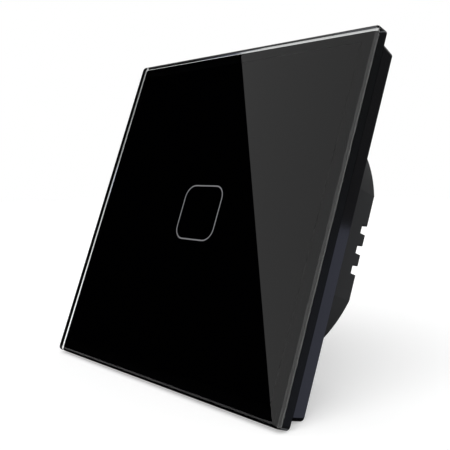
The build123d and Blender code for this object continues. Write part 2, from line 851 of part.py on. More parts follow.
# Relay core: a pin riveted into the yoke, with a pole face at the armature's end
yoke_start = bobbin_start - relay_fit - yoke_thickness
with BuildPart() as relay_core:
    with BuildSketch(relay_at(yoke_start, coil_axis_height)):
        Circle(core_radius)
    extrude(amount=armature_along - pole_gap - yoke_start)
save(relay_core, "relay_core")

# Relay yoke: an L of flat iron from the core's far end to the armature's pivot
with BuildPart() as relay_yoke:
    yoke_top = relay_height - relay_wall - relay_fit
    yoke_end = armature_along - pivot_gap
    with BuildSketch(top_view(relay_left, power_rear, relay_z)):
        with BuildLine():
            Polyline(
                (yoke_start, coil_axis_height - yoke_drop),
                (yoke_start + yoke_thickness, coil_axis_height - yoke_drop),
                (yoke_start + yoke_thickness, yoke_top - yoke_thickness),
                (yoke_end, yoke_top - yoke_thickness),
                (yoke_end, yoke_top),
                (yoke_start, yoke_top),
                close=True,
            )
        make_face()
    extrude(amount=yoke_half_width, both=True)
    with BuildSketch(relay_at(yoke_start, coil_axis_height)):
        Circle(core_radius)
    extrude(amount=yoke_thickness, mode=Mode.SUBTRACT)
save(relay_yoke, "relay_yoke")

# Relay armature: a flat clapper with a rounded pivot edge beside the yoke's free end
pivot_radius = armature_thickness / 2
pivot_height = yoke_top - pivot_radius - pivot_gap
armature_middle = pivot_height + pivot_radius - armature_height / 2
with BuildPart() as relay_armature:
    with BuildSketch(top_view(relay_left, power_rear, relay_z)):
        with Locations((armature_along + pivot_radius, armature_middle)):
            SlotOverall(armature_height, armature_thickness, rotation=90)
    extrude(amount=armature_half_width, both=True)
save(relay_armature, "relay_armature")

# Moving contact: a leaf on the armature's outer face, with a rivet contact at its end
with BuildPart() as moving_contact:
    leaf_low = relay_base_height + relay_wall / 2
    leaf_high = pivot_height - leaf_drop
    with BuildSketch(relay_at(leaf_face, 0)):
        with Locations(((leaf_low + leaf_high) / 2, 0)):
            Rectangle(leaf_high - leaf_low, 2 * blade_half_width)
    extrude(amount=contact_leaf)
    with BuildSketch(relay_at(leaf_face, contact_level)):
        Circle(contact_radius)
    extrude(amount=-contact_height)
save(moving_contact, "moving_contact")

# Fixed contact: a blade through the relay's base with its own rivet contact
with BuildPart() as fixed_contact:
    with BuildSketch(relay_at(blade_along, 0)):
        with Locations(((contact_level + contact_radius) / 2, 0)):
            Rectangle(contact_level + contact_radius, 2 * blade_half_width)
    extrude(amount=blade_thickness)
    with BuildSketch(relay_at(blade_along + blade_thickness, contact_level)):
        Circle(contact_radius)
    extrude(amount=contact_height)
save(fixed_contact, "fixed_contact")

# Transformer core: an outer ring with a middle post, standing on the board
with BuildPart() as transformer_core:
    core_middle = power_rear + transformer_foot + core_height / 2
    with BuildSketch(top_view(transformer_x, core_middle, transformer_z)):
        Rectangle(core_width, core_height)
        opening_width = (core_width - 2 * core_leg - core_post) / 2
        opening_middle = (core_post + opening_width) / 2
        with Locations((-opening_middle, 0), (opening_middle, 0)):
            Rectangle(opening_width, core_height - 2 * core_leg, mode=Mode.SUBTRACT)
    extrude(amount=core_stack / 2, both=True)
save(transformer_core, "transformer_core")

# Transformer bobbin and winding, wrapped round the core's middle post
bobbin_height = core_height - 2 * core_leg - 2 * bobbin_fit
bobbin_level = power_rear + transformer_foot + core_leg + bobbin_fit
with BuildPart() as transformer_bobbin:
    post_width = core_post + 2 * bobbin_fit
    post_depth = core_stack + 2 * bobbin_fit
    flange_width = core_width - 2 * core_leg - 2 * bobbin_fit
    flange_depth = post_depth + 2 * winding_wall + 2 * winding_fill + 2 * winding_inset
    with BuildSketch(spot(transformer_x, bobbin_level + bobbin_height, transformer_z)):
        Rectangle(post_width + 2 * winding_wall, post_depth + 2 * winding_wall)
    extrude(amount=bobbin_height)
    for level in (bobbin_level + winding_wall, bobbin_level + bobbin_height):
        with BuildSketch(spot(transformer_x, level, transformer_z)):
            Rectangle(flange_width, flange_depth)
        extrude(amount=winding_wall)
    # Feet outside the core reach down to the board
    foot_middle = (post_depth / 2 + flange_depth / 2) / 2
    foot_depth = flange_depth / 2 - core_stack / 2 - bobbin_fit
    with BuildSketch(spot(transformer_x, bobbin_level, transformer_z)):
        with Locations((0, -foot_middle), (0, foot_middle)):
            Rectangle(flange_width, foot_depth)
    extrude(amount=bobbin_level - power_rear)
    with BuildSketch(spot(transformer_x, bobbin_level + bobbin_height, transformer_z)):
        Rectangle(post_width, post_depth)
    extrude(amount=bobbin_height, mode=Mode.SUBTRACT)
save(transformer_bobbin, "transformer_bobbin")

with BuildPart() as transformer_winding:
    winding_width = flange_width - winding_inset
    winding_depth = flange_depth - 2 * winding_inset
    winding_rear = bobbin_level + bobbin_height - winding_wall - turns_gap
    with BuildSketch(spot(transformer_x, winding_rear, transformer_z)) as wire_outline:
        Rectangle(winding_width, winding_depth)
        chamfer(wire_outline.vertices(), winding_corner)
        Rectangle(post_width + 2 * winding_wall, post_depth + 2 * winding_wall, mode=Mode.SUBTRACT)
    extrude(amount=bobbin_height - 2 * winding_wall - 2 * turns_gap)
save(transformer_winding, "transformer_winding")


def lying_can(x, z, radius, length):
    """Electrolytic can lying along X on the board, with the crimped groove near its sealed end."""
    axis_y = power_rear + radius
    left = x - length / 2
    with BuildPart() as can:
        with BuildSketch(top_view(left, axis_y, z)):
            with BuildLine():
                Polyline(
                    (0, 0),
                    (0, radius),
                    (crimp_setback - crimp_width / 2, radius),
                    (crimp_setback, radius - crimp_depth),
                    (crimp_setback + crimp_width / 2, radius),
                    (length, radius),
                    (length, 0),
                    close=True,
                )
            make_face()
        revolve(axis=Axis((left, axis_y, z), (1, 0, 0)))
    return can.part


# Filter capacitors: two cans lying above the relay and the transformer
large_can = lying_can(capacitor_x, upper_row, capacitor_radius, capacitor_length)
small_can = lying_can(small_capacitor_x, upper_row, small_capacitor_radius, small_capacitor_length)
with BuildPart() as filter_capacitors:
    add(large_can)
    add(small_can)
save(filter_capacitors, "filter_capacitors")

# Safety capacitor: a moulded box on the mains side
with BuildPart() as safety_capacitor:
    with BuildSketch(spot(film_x, power_rear + film_height, film_z)):
        Rectangle(film_width, film_length)
    extrude(amount=film_height)
    chamfer(safety_capacitor.edges().filter_by(Axis.Y), film_corner)
    chamfer(safety_capacitor.faces().sort_by(Axis.Y)[-1].edges(), film_corner / 2)
save(safety_capacitor, "safety_capacitor")

# Varistor: a coated disc standing on the board
with BuildPart() as varistor:
    varistor_centre = (varistor_x, power_rear + varistor_radius, lower_row)
    with BuildSketch(top_view(*varistor_centre)):
        Circle(varistor_radius)
    extrude(amount=varistor_thickness / 2, both=True)
    chamfer(varistor.edges().filter_by(GeomType.CIRCLE), varistor_edge)
save(varistor, "varistor")

# Fuse resistor: a coated rod lying along X
with BuildPart() as fuse_resistor:
    resistor_level = power_rear + resistor_radius
    with BuildSketch(side_view(resistor_x - resistor_length / 2, resistor_level, lower_row)):
        Circle(resistor_radius)
    extrude(amount=resistor_length)
save(fuse_resistor, "fuse_resistor")

# Bridge rectifier: a flat moulded block with leads
with BuildPart() as bridge_rectifier:
    with BuildSketch(spot(rectifier_x, power_rear, lower_row)):
        Rectangle(rectifier_length, rectifier_width)
    extrude(amount=-rectifier_height)
    chamfer(bridge_rectifier.faces().sort_by(Axis.Y)[-1].edges(), rectifier_chamfer)
    rectifier_leads = gull_leads(rectifier_x, power_rear, lower_row, rectifier_width / 2,
                               rectifier_lead_count)
    extrude(rectifier_leads, amount=-lead_thickness)
save(bridge_rectifier, "bridge_rectifier")

# Regulator chip beside the transformer
with BuildPart() as regulator_chip:
    with BuildSketch(spot(regulator_x, power_rear, lower_row)):
        Rectangle(regulator_length, regulator_width)
    extrude(amount=-regulator_height)
    chamfer(regulator_chip.faces().sort_by(Axis.Y)[-1].edges(), regulator_chamfer)
    regulator_leads = gull_leads(regulator_x, power_rear, lower_row, regulator_width / 2,
                                 regulator_lead_count)
    extrude(regulator_leads, amount=-lead_thickness)
save(regulator_chip, "regulator_chip")

# Choke: a wound drum core standing on the board
with BuildPart() as filter_choke:
    with BuildSketch(top_view(choke_x, power_rear, upper_row)):
        with BuildLine():
            Polyline(
                (0, 0),
                (choke_radius, 0),
                (choke_radius, choke_flange),
                (choke_waist, choke_flange),
                (choke_waist, choke_height - choke_flange),
                (choke_radius, choke_height - choke_flange),
                (choke_radius, choke_height),
                (0, choke_height),
                close=True,
            )
        make_face()
    revolve(axis=Axis((choke_x, 0, upper_row), (0, 1, 0)))
save(filter_choke, "filter_choke")

# Radio board with a meander antenna along its free end
radio_front = power_front - radio_thickness
with BuildPart() as radio_board:
    with BuildSketch(spot(radio_x, power_front, radio_z)):
        Rectangle(radio_length, radio_width)
    extrude(amount=radio_thickness)
    antenna_x = radio_x - radio_length / 2 + antenna_margin + antenna_width / 2
    with BuildSketch(spot(antenna_x, radio_front, radio_z)):
        for k in range(-antenna_turns, antenna_turns + 1):
            with Locations((0, k * antenna_pitch)):
                Rectangle(antenna_width, antenna_line)
        for k in range(-antenna_turns, antenna_turns):
            side = 1 if k % 2 else -1
            with Locations((side * (antenna_width - antenna_line) / 2, (k + 0.5) * antenna_pitch)):
                Rectangle(antenna_line, antenna_pitch)
    extrude(amount=antenna_height)
save(radio_board, "radio_board")

# Radio shield: a thin can over the radio chip
with BuildPart() as radio_shield:
    shield_x = radio_x + radio_length / 2 - shield_length / 2 - shield_margin
    with BuildSketch(spot(shield_x, radio_front, radio_z)):
        Rectangle(shield_length, shield_width)
    extrude(amount=shield_height)
    with BuildSketch(spot(shield_x, radio_front, radio_z)):
        Rectangle(shield_length - 2 * shield_wall, shield_width - 2 * shield_wall)
    extrude(amount=shield_height - shield_wall, mode=Mode.SUBTRACT)
save(radio_shield, "radio_shield")

# Terminal block: bays for the cages, round wire mouths at the bottom, screw wells at the rear
pole_places = [(k - (terminal_count - 1) / 2) * terminal_pitch for k in range(terminal_count)]
bay_front = power_rear + block_floor
bay_rear = bay_front + bay_height
shelf_rear = bay_rear + shelf_thickness
bay_width = terminal_pitch - barrier_thickness
bay_bottom = mouth_z + mouth_wall
bay_top = block_back_z - block_back_wall
cage_front = bay_front + cage_gap
bar_front = cage_front + cage_floor + wire_space
bar_rear = bar_front + bar_thickness
screw_tip = bar_rear + bar_gap
cage_z = bay_bottom + cage_length / 2 + cage_end_gap
bar_bend = bay_top - bar_thickness
block_middle = (mouth_z + block_back_z) / 2
with BuildPart() as terminal_block:
    with BuildSketch(at_depth(block_rear)):
        with Locations((0, block_middle)):
            Rectangle(block_width, block_back_z - mouth_z)
    extrude(amount=block_rear - power_rear)
    chamfer(terminal_block.faces().sort_by(Axis.Y)[-1].edges().filter_by(Axis.X), block_chamfer)
    with BuildSketch(at_depth(bay_rear)):
        for x in pole_places:
            with Locations((x, (bay_bottom + bay_top) / 2)):
                Rectangle(bay_width, bay_top - bay_bottom)
    extrude(amount=bay_height, mode=Mode.SUBTRACT)
    # The solder leg of each bar leaves through the floor
    with BuildSketch(at_depth(bay_front)):
        for x in pole_places:
            with Locations((x, bar_bend + bar_thickness / 2)):
                Rectangle(bar_width + 2 * bar_clearance, bar_thickness)
    extrude(amount=block_floor, mode=Mode.SUBTRACT)
    for x in pole_places:
        with BuildSketch(at_depth(shelf_rear)):
            with Locations((x, cage_z)):
                Circle(terminal_screw_radius + 2 * thread_clearance)
        extrude(amount=shelf_thickness, mode=Mode.SUBTRACT)
        with BuildSketch(at_depth(block_rear)):
            with Locations((x, cage_z)):
                Circle(well_radius)
        extrude(amount=block_rear - shelf_rear, mode=Mode.SUBTRACT)
        with BuildSketch(top_view(x, power_rear + wire_level, mouth_z)):
            Circle(wire_radius)
        extrude(amount=mouth_wall, mode=Mode.SUBTRACT)
save(terminal_block, "terminal_block")

# Terminal bars: the fixed conductors, bent down to the board at their inner end
with BuildPart() as terminal_bars:
    for x in pole_places:
        with BuildSketch(side_view(x, 0, 0)):
            with BuildLine():
                Polyline(
                    (bar_front, bay_bottom + bar_clearance),
                    (bar_rear, bay_bottom + bar_clearance),
                    (bar_rear, bay_top),
                    (power_rear, bay_top),
                    (power_rear, bar_bend),
                    (bar_front, bar_bend),
                    close=True,
                )
            make_face()
        extrude(amount=bar_width / 2, both=True)
save(terminal_bars, "terminal_bars")

# Rising cages: a floor that lifts the wire, two side walls round the bar and a threaded roof
cage_width = bay_width - 2 * cage_clearance
cage_inner = cage_width - 2 * cage_wall
nut_front = screw_tip
cage_rear = nut_front + cage_nut
for number, x in enumerate(pole_places, start=1):
    with BuildPart() as terminal_cage:
        with BuildSketch(top_view(x, 0, cage_z)):
            with Locations((0, (cage_front + cage_rear) / 2)):
                Rectangle(cage_width, cage_rear - cage_front)
            with Locations((0, (cage_front + cage_floor + nut_front) / 2)):
                Rectangle(cage_inner, nut_front - cage_front - cage_floor, mode=Mode.SUBTRACT)
        extrude(amount=cage_length / 2, both=True)
        with BuildSketch(at_depth(cage_rear)):
            with Locations((x, cage_z)):
                Circle(terminal_screw_radius + thread_clearance)
        extrude(amount=cage_nut, mode=Mode.SUBTRACT)
    save(terminal_cage, f"terminal_cage_{number}")

# Terminal screws: captive between the shelf and the bar, each with a driver slot
head_seat = shelf_rear + head_gap
for number, x in enumerate(pole_places, start=1):
    with BuildPart() as terminal_screw:
        with BuildSketch(top_view(x, 0, cage_z)):
            with BuildLine():
                Polyline(
                    (0, screw_tip),
                    (terminal_screw_radius, screw_tip),
                    (terminal_screw_radius, head_seat),
                    (terminal_head_radius, head_seat),
                    (terminal_head_radius, head_seat + terminal_head_height),
                    (0, head_seat + terminal_head_height),
                    close=True,
                )
            make_face()
        revolve(axis=Axis((x, 0, cage_z), (0, 1, 0)))
        with BuildSketch(at_depth(head_seat + terminal_head_height)):
            with Locations((x, cage_z)):
                Rectangle(2 * (terminal_head_radius + driver_slot_run_out), driver_slot_width)
        extrude(amount=driver_slot_depth, mode=Mode.SUBTRACT)
    save(terminal_screw, f"terminal_screw_{number}")
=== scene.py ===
# %% [markdown]
# # A glass touch light switch
#
# The solids come packed, each piece at its own place, in metres. This script doesn't move them. It
# gives each piece its finish, winds the wires that the solids only stand for, adds the small things
# that repeat on the boards, and sets up a white studio that shows black glass well.

import json
import math

import bpy
from mathutils import Matrix, Vector


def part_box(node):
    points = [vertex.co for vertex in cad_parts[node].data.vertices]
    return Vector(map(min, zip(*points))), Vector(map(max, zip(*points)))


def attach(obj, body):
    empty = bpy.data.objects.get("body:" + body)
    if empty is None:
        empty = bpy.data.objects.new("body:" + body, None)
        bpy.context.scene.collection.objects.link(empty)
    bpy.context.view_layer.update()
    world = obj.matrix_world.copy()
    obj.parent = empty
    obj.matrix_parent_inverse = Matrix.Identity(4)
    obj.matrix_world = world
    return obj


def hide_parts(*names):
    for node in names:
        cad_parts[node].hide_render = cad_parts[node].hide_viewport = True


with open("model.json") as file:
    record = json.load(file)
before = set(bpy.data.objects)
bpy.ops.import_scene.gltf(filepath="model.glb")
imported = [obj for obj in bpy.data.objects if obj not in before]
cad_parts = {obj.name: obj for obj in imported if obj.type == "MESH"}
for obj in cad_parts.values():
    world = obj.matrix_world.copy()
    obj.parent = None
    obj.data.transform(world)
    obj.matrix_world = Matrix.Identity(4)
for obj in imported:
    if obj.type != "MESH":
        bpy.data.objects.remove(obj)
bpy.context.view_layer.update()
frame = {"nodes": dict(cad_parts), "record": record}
nodes = frame["nodes"]
MM = 0.001

# %% [markdown]
# ## Shader maths as Python
#
# Most finishes here are sums: a base number, plus a little noise, where some pattern says so.
# Written as nodes and links such a sum takes a page. So `Signal` wraps the output of a node and
# gives it Python's operators, and `Finish` builds a material around one Principled shader. A number
# or colour that is the same all over is set on the shader's own socket.


# %% A signal: one socket with operators
class Signal:
    """The output of a shader node. Sums and comparisons of signals add Math nodes."""

    def __init__(self, maker, socket):
        self.maker = maker
        self.socket = socket

    def maths(self, operation, *terms):
        return self.maker.node("Math", {"operation": operation}, dict(enumerate(terms)))

    def __add__(self, other):
        return self.maths("ADD", self, other)

    def __radd__(self, other):
        return self.maths("ADD", other, self)

    def __sub__(self, other):
        return self.maths("SUBTRACT", self, other)

    def __rsub__(self, other):
        return self.maths("SUBTRACT", other, self)

    def __mul__(self, other):
        return self.maths("MULTIPLY", self, other)

    def __rmul__(self, other):
        return self.maths("MULTIPLY", other, self)

    def __truediv__(self, other):
        return self.maths("DIVIDE", self, other)

    def __rtruediv__(self, other):
        return self.maths("DIVIDE", other, self)

    def __lt__(self, other):
        return self.maths("LESS_THAN", self, other)

    def __gt__(self, other):
        return self.maths("GREATER_THAN", self, other)

    def size(self):
        return self.maths("ABSOLUTE", self)

    def whole(self):
        return self.maths("FLOOR", self)

    def repeat(self, period):
        """Where the signal is within its period, from 0 to 1."""
        return self.maths("FRACT", self.maths("DIVIDE", self, period))

    def within(self, low, high):
        """1 where the signal lies between two limits, else 0."""
        return (self > low) * (self < high)

    def between(self, low, high, first, last):
        """The run from low to high turned into one from first to last, held at the ends."""
        ends = {0: self, 1: low, 2: high, 3: first, 4: last}
        return self.maker.node("MapRange", {"clamp": True}, ends)


# %% A tree of shader nodes, for a material or for the world
class Tree:
    """Adds nodes to one node tree."""

    def __init__(self, tree):
        self.tree = tree
        self.tree.nodes.clear()

    def node(self, kind, settings=None, inputs=None, output=0):
        """Add one node: its settings first, then the values or links of its sockets."""
        made = self.tree.nodes.new("ShaderNode" + kind)
        for name, value in (settings or {}).items():
            setattr(made, name, value)
        for name, value in (inputs or {}).items():
            socket = made.inputs[name]
            if isinstance(value, Signal):
                self.tree.links.new(value.socket, socket)
            else:
                socket.default_value = value
        return Signal(self, made.outputs[output])

    def axes(self, vector):
        """The three numbers of a vector."""
        first = self.node("SeparateXYZ", None, {0: vector})
        return [Signal(self, socket) for socket in first.socket.node.outputs]

    def mixed(self, factor, low, high):
        """One colour where the factor is 0, the other where it is 1."""
        return self.node("Mix", {"data_type": "RGBA"}, {0: factor, 6: low, 7: high}, 2)


# %% A finish: one Principled shader and what feeds it
class Finish(Tree):
    """A material built around one Principled shader. Patterns are read at object coordinates."""

    def __init__(self, name, colour, roughness, **constants):
        self.material = bpy.data.materials.new(name)
        self.material.use_nodes = True
        super().__init__(self.material.node_tree)
        self.shader = self.tree.nodes.new("ShaderNodeBsdfPrincipled")
        output = self.tree.nodes.new("ShaderNodeOutputMaterial")
        self.tree.links.new(self.shader.outputs["BSDF"], output.inputs["Surface"])
        self.colour = (*colour[:3], 1)
        self.set("Base Color", self.colour)
        self.set("Roughness", roughness)
        for name, value in constants.items():
            self.set(name.replace("_", " "), value)

    def set(self, name, value):
        """Give one of the shader's sockets a value or a link."""
        socket = self.shader.inputs[name]
        if isinstance(value, Signal):
            self.tree.links.new(value.socket, socket)
        else:
            socket.default_value = value

    def place(self, stretch=(1, 1, 1)):
        """The place on the piece, in metres, stretched along the axes."""
        here = self.node("TexCoord", None, None, "Object")
        if tuple(stretch) == (1, 1, 1):
            return here
        return self.node("Mapping", None, {"Vector": here, "Scale": stretch})

    def noise(self, size, detail=2.0, stretch=(1, 1, 1)):
        """Soft noise round 0.5 whose lumps are about that size."""
        inputs = {"Vector": self.place(stretch), "Scale": 1 / size, "Detail": detail}
        return self.node("TexNoise", None, inputs)

    def shade(self, factor, amount):
        """The finish's colour, darker and lighter by an amount as the factor runs from 0 to 1."""
        low = [c * (1 - amount) for c in self.colour[:3]] + [1]
        high = [min(c * (1 + amount), 1) for c in self.colour[:3]] + [1]
        return self.mixed(factor, low, high)

    def emboss(self, height, depth):
        """Bump the surface where the height signal runs from 0 to 1 over that depth."""
        return self.node("Bump", None, {"Height": height, "Distance": depth, "Strength": 1.0})


colours = {m["slot"]: m["base_color"] for m in frame["record"]["materials"]}
finishes = {}
print("finishes wanted:", len(colours))

# %% [markdown]
# ## Black moulded plastic
#
# The carrier of the glass and the base frame are injection moulded with a satin polish, and the
# housing has a fine spark-eroded grain that scatters light. A photograph could be wrapped round
# them, but noise at three scales does the same and works on any face: fine noise bumps the surface,
# middling noise changes its gloss and broad noise its shade.


# %% Moulded plastic
def moulded(name, colour, roughness, grain, depth, shade=0.08, gloss=0.1, **constants):
    """Moulded plastic whose grain has one size and depth, both in millimetres."""
    finish = Finish(name, colour, roughness, **constants)
    fine = finish.noise(grain * MM, 3)
    middling = finish.noise(8 * grain * MM)
    broad = finish.noise(9 * MM)
    finish.set("Base Color", finish.shade(broad, shade))
    finish.set("Roughness", roughness - gloss / 2 + gloss * middling)
    finish.set("Normal", finish.emboss(fine, depth * MM))
    finishes[name] = finish


moulded("frame_plastic", (0.0045, 0.0045, 0.0055), 0.08, 0.35, 0.0001, gloss=0.03)
moulded("housing_plastic", (0.03, 0.0305, 0.031), 0.6, 0.28, 0.006, Specular_IOR_Level=0.15)
moulded("terminal_plastic", (0.032, 0.033, 0.036), 0.42, 0.3, 0.004)
INNER_MOULDINGS = (  # slot, roughness, grain, depth, shade
    ("strip_plastic", 0.4, 0.2, 0.003, 0.08), ("relay_plastic", 0.35, 0.25, 0.003, 0.08),
    ("bobbin_plastic", 0.45, 0.25, 0.003, 0.08), ("film_case", 0.38, 0.3, 0.003, 0.08),
    ("chip_resin", 0.55, 0.12, 0.004, 0.15), ("clear_plastic", 0.25, 0.3, 0.001, 0.08),
    ("lamp_resin", 0.2, 0.2, 0.001, 0.08), ("adhesive_tape", 0.8, 0.15, 0.02, 0.12))
for slot_name, roughness, grain, depth, shade in INNER_MOULDINGS:
    moulded(slot_name, colours[slot_name], roughness, grain, depth, shade)
print("moulded finishes:", len(finishes))

# %% [markdown]
# ## Black glass
#
# The panel is clear tempered glass, 3 mm thick, with a black print on its back. A plain black
# shader does for its middle, and stays free of grain. Its rim needs the real thing: seen at a
# slant, the glass bends the view, so that the chamfer at its back shows as a bright line a couple
# of millimetres inside the left and upper edges. So the rim is clear over the print. The sides are
# ground, not polished. Near their ends, thin pale lines are painted into their colour. These are
# painted highlights where the chamfers of the other edges shine through. Fingers and wiping leave
# patches on the front that are a hair duller.

# %% Clear rim, black middle, back print and printed mark
GLASS_IOR = 1.5
rim = Finish("clear_glass", (0.93, 0.95, 0.945), 0.0, IOR=GLASS_IOR, Transmission_Weight=1.0)
rim.set("Roughness", rim.noise(5 * MM).between(0.5, 0.8, 0.0, 0.002))

glass = Finish("black_glass", (0.0002, 0.0002, 0.0003), 0.0, IOR=GLASS_IOR)
wiping = glass.noise(16 * MM, 4, (1, 1, 0.35)).between(0.5, 0.8, 0.0, 0.004)
specks = glass.noise(0.9 * MM).between(0.75, 0.85, 0.0, 0.003)
glass.set("Roughness", wiping + specks)
finishes["black_glass"] = glass

print_layer = Finish("back_print", (0.0012, 0.0012, 0.0015), 0.6, Specular_IOR_Level=0.0)
print_layer.set("Base Color", print_layer.shade(print_layer.noise(0.2 * MM), 0.3))

mark = Finish("mark_print", (0.19, 0.19, 0.2), 0.12, IOR=GLASS_IOR)
mark.set("Base Color", mark.shade(mark.noise(0.12 * MM), 0.12))
finishes["mark_print"] = mark
print("glass finishes:", [made.material.name for made in (rim, glass, print_layer, mark)])

# %% Ground sides, with painted highlights: a pale line near the top that follows the chamfer and one at the foot
glass_low, glass_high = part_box("glass_panel")
SHINE_DROP, SHINE_SLOPE, SHINE_WIDTH = 1.9 * MM, 0.6, 0.28 * MM
FOOT_SHINE_LOW, FOOT_SHINE_HIGH = 0.2 * MM, 0.5 * MM
PAINTED_SHINE_COLOUR = (0.1, 0.105, 0.11, 1)
ground = Finish("ground_glass", (0.0055, 0.006, 0.0065), 0.3, Specular_IOR_Level=0.08)
grinding = ground.noise(0.1 * MM, 3, (1, 1, 0.25))
_, inward, upward = ground.axes(ground.place())
shine_height = glass_high.z - SHINE_DROP + SHINE_SLOPE * (inward - glass_low.y)
painted_top_shine = (upward - shine_height).size() < SHINE_WIDTH / 2
painted_foot_shine = upward.within(glass_low.z + FOOT_SHINE_LOW, glass_low.z + FOOT_SHINE_HIGH)
sides = ground.shade(grinding, 0.2)
# Painted highlights: pale lines in the sides' colour stand for the chamfers shining through the
# glass
ground.set("Base Color", ground.mixed(painted_top_shine + painted_foot_shine, sides, PAINTED_SHINE_COLOUR))
ground.set("Roughness", 0.24 + 0.15 * grinding)
print("height of the glass in millimetres:", round((glass_high.z - glass_low.z) / MM, 2))

# %% [markdown]
# ## Metals
#
# Plated steel, copper wire, brass bars and gilt pins differ in colour, gloss and in the direction
# of their marks: drawn wire and rolled strip carry long streaks, and plating is cloudy. One recipe
# takes the streak's direction as a stretch of the noise.


# %% Metal
SCRATCH_GLOSS = 0.15
SCRATCH_DEPTH = 0.0015 * MM


def metal(name, colour, roughness, streak=(1, 1, 1), cloud=0.12):
    """Bare or plated metal. The streak is the stretch of its marks along the three axes."""
    finish = Finish(name, colour, roughness, Metallic=1.0)
    marks = finish.noise(0.12 * MM, 3, streak)
    clouds = finish.noise(2.5 * MM, 3)
    finish.set("Base Color", finish.shade(clouds, cloud))
    finish.set("Roughness", roughness - SCRATCH_GLOSS / 2 + SCRATCH_GLOSS * marks)
    finish.set("Normal", finish.emboss(marks, SCRATCH_DEPTH))
    finishes[name] = finish
    return finish


EVEN, ALONG_X, ALONG_Y = (1, 1, 1), (0.1, 1, 1), (1, 0.1, 1)
METALS = (  # slot, roughness, streak, cloud
    ("plated_screw", 0.3, EVEN, 0.12), ("spring_steel", 0.22, EVEN, 0.12),
    ("gilt_pins", 0.25, ALONG_Y, 0.12), ("copper_wire", 0.3, EVEN, 0.2),
    ("relay_iron", 0.38, ALONG_X, 0.12), ("contact_metal", 0.3, ALONG_Y, 0.12),
    ("shield_metal", 0.33, ALONG_X, 0.12), ("terminal_brass", 0.3, (1, 0.15, 1), 0.12),
    ("cage_steel", 0.33, (1, 0.12, 1), 0.12))
for slot_name, roughness, streak, cloud in METALS:
    metal(slot_name, colours[slot_name], roughness, streak, cloud)
print("metals:", len(METALS))

# %% [markdown]
# ## Circuit board
#
# A board is glass cloth in resin under a green lacquer. The lacquer lets copper tracks show as
# lighter lines. The tracks run on a grid and turn at random, so here each cell of a grid draws a
# number, and tracks cross it along X, along Z or not at all by that number. The weave of the cloth
# shows as a very shallow bump.

# %% Board finish with tracks and weave
def stripes(signal, step, share):
    """1 on stripes that repeat every step and take up that share of it."""
    return (signal.repeat(step) - 0.5).size() < share / 2


TRACK_GRID = 1.27 * MM
TRACK_CELL = 3 * TRACK_GRID
TRACK_SHARE = 0.24
CELLS_ALONG_X, CELLS_ALONG_Z = (0.0, 0.25), (0.5, 0.72)  # the numbers that give a cell tracks
CLOTH = 0.45 * MM
OVER_COPPER = (0.03, 0.19, 0.07, 1)
board = Finish("board_resin", (0.012, 0.085, 0.035), 0.3, Coat_Weight=0.3, Coat_Roughness=0.1)
across, _, upward = board.axes(board.place())
cell = board.node("CombineXYZ", None, {
    0: (across / TRACK_CELL).whole(), 1: 0.0, 2: (upward / TRACK_CELL).whole()})
chance = board.node("TexWhiteNoise", {"noise_dimensions": "3D"}, {"Vector": cell})
along_x = stripes(upward, TRACK_GRID, TRACK_SHARE) * chance.within(*CELLS_ALONG_X)
along_z = stripes(across, TRACK_GRID, TRACK_SHARE) * chance.within(*CELLS_ALONG_Z)
track = along_x + along_z
weave = ((across.repeat(CLOTH) - 0.5).size() + (upward.repeat(CLOTH) - 0.5).size()) * 0.5
lacquer = board.shade(board.noise(6 * MM), 0.12)
board.set("Base Color", board.mixed(track, lacquer, OVER_COPPER))
board.set("Roughness", 0.26 + 0.12 * board.noise(0.5 * MM))
board.set("Normal", board.emboss(weave * 0.3 + track * 0.7, 0.01 * MM))
finishes["board_resin"] = board
print("nodes in the board's finish:", len(board.tree.nodes))

# %% [markdown]
# ## Ferrite, sleeves and coatings
#
# The power supply's parts tell themselves apart by their coats: sintered ferrite is dull and
# speckled, the can's sleeve is shrunk film with a pale stripe, the varistor and the resistor are
# dipped and sag a little, and the resistor carries bands.

# %% Ferrite
GRIT = 0.1 * MM
ferrite = Finish("ferrite", (0.05, 0.05, 0.052), 0.62)
grit = ferrite.noise(GRIT, 4)
ferrite.set("Base Color", ferrite.shade(grit, 0.5))
ferrite.set("Roughness", 0.5 + 0.25 * grit)
ferrite.set("Normal", ferrite.emboss(grit, 0.01 * MM))
finishes["ferrite"] = ferrite
print("finishes so far:", len(finishes))

# %% Can sleeve with a pale stripe and dark dashes on it
STRIPE_RISE, STRIPE_WIDTH, DASH_STEP, DASH_SHARE = 2.0 * MM, 1.8 * MM, 1.6 * MM, 0.56
STRIPE_COLOUR, DASH_COLOUR = (0.35, 0.37, 0.4, 1), (0.02, 0.022, 0.03, 1)
cans_low, cans_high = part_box("filter_capacitors")
row_height = (cans_low.z + cans_high.z) / 2
sleeve = Finish("can_sleeve", (0.012, 0.014, 0.022), 0.3)
across, _, upward = sleeve.axes(sleeve.place())
stripe = (upward - row_height - STRIPE_RISE).size() < STRIPE_WIDTH / 2
dash = stripe * stripes(across, DASH_STEP, DASH_SHARE)
film = sleeve.mixed(stripe, sleeve.shade(sleeve.noise(4 * MM), 0.2), STRIPE_COLOUR)
sleeve.set("Base Color", sleeve.mixed(dash, film, DASH_COLOUR))
sleeve.set("Roughness", 0.24 + 0.14 * sleeve.noise(0.7 * MM))
sleeve.set("Normal", sleeve.emboss(sleeve.noise(1.6 * MM, 1), 0.015 * MM))
finishes["can_sleeve"] = sleeve
print("middle of the row of cans, mm:", round(row_height / MM, 2))


# %% Dipped coatings
def dipped(name, roughness, sag):
    """An epoxy coat whose surface sags and pools a little."""
    finish = Finish(name, colours[name], roughness)
    pool = finish.noise(1.5 * MM)
    pore = finish.noise(0.15 * MM)
    finish.set("Base Color", finish.shade(pool, 0.12))
    finish.set("Roughness", roughness - 0.06 + 0.12 * pore)
    finish.set("Normal", finish.emboss(pool + pore * 0.1, sag))
    finishes[name] = finish
    return finish


dipped("disc_coating", 0.25, 0.03 * MM)
resistor = dipped("resistor_coating", 0.4, 0.02 * MM)

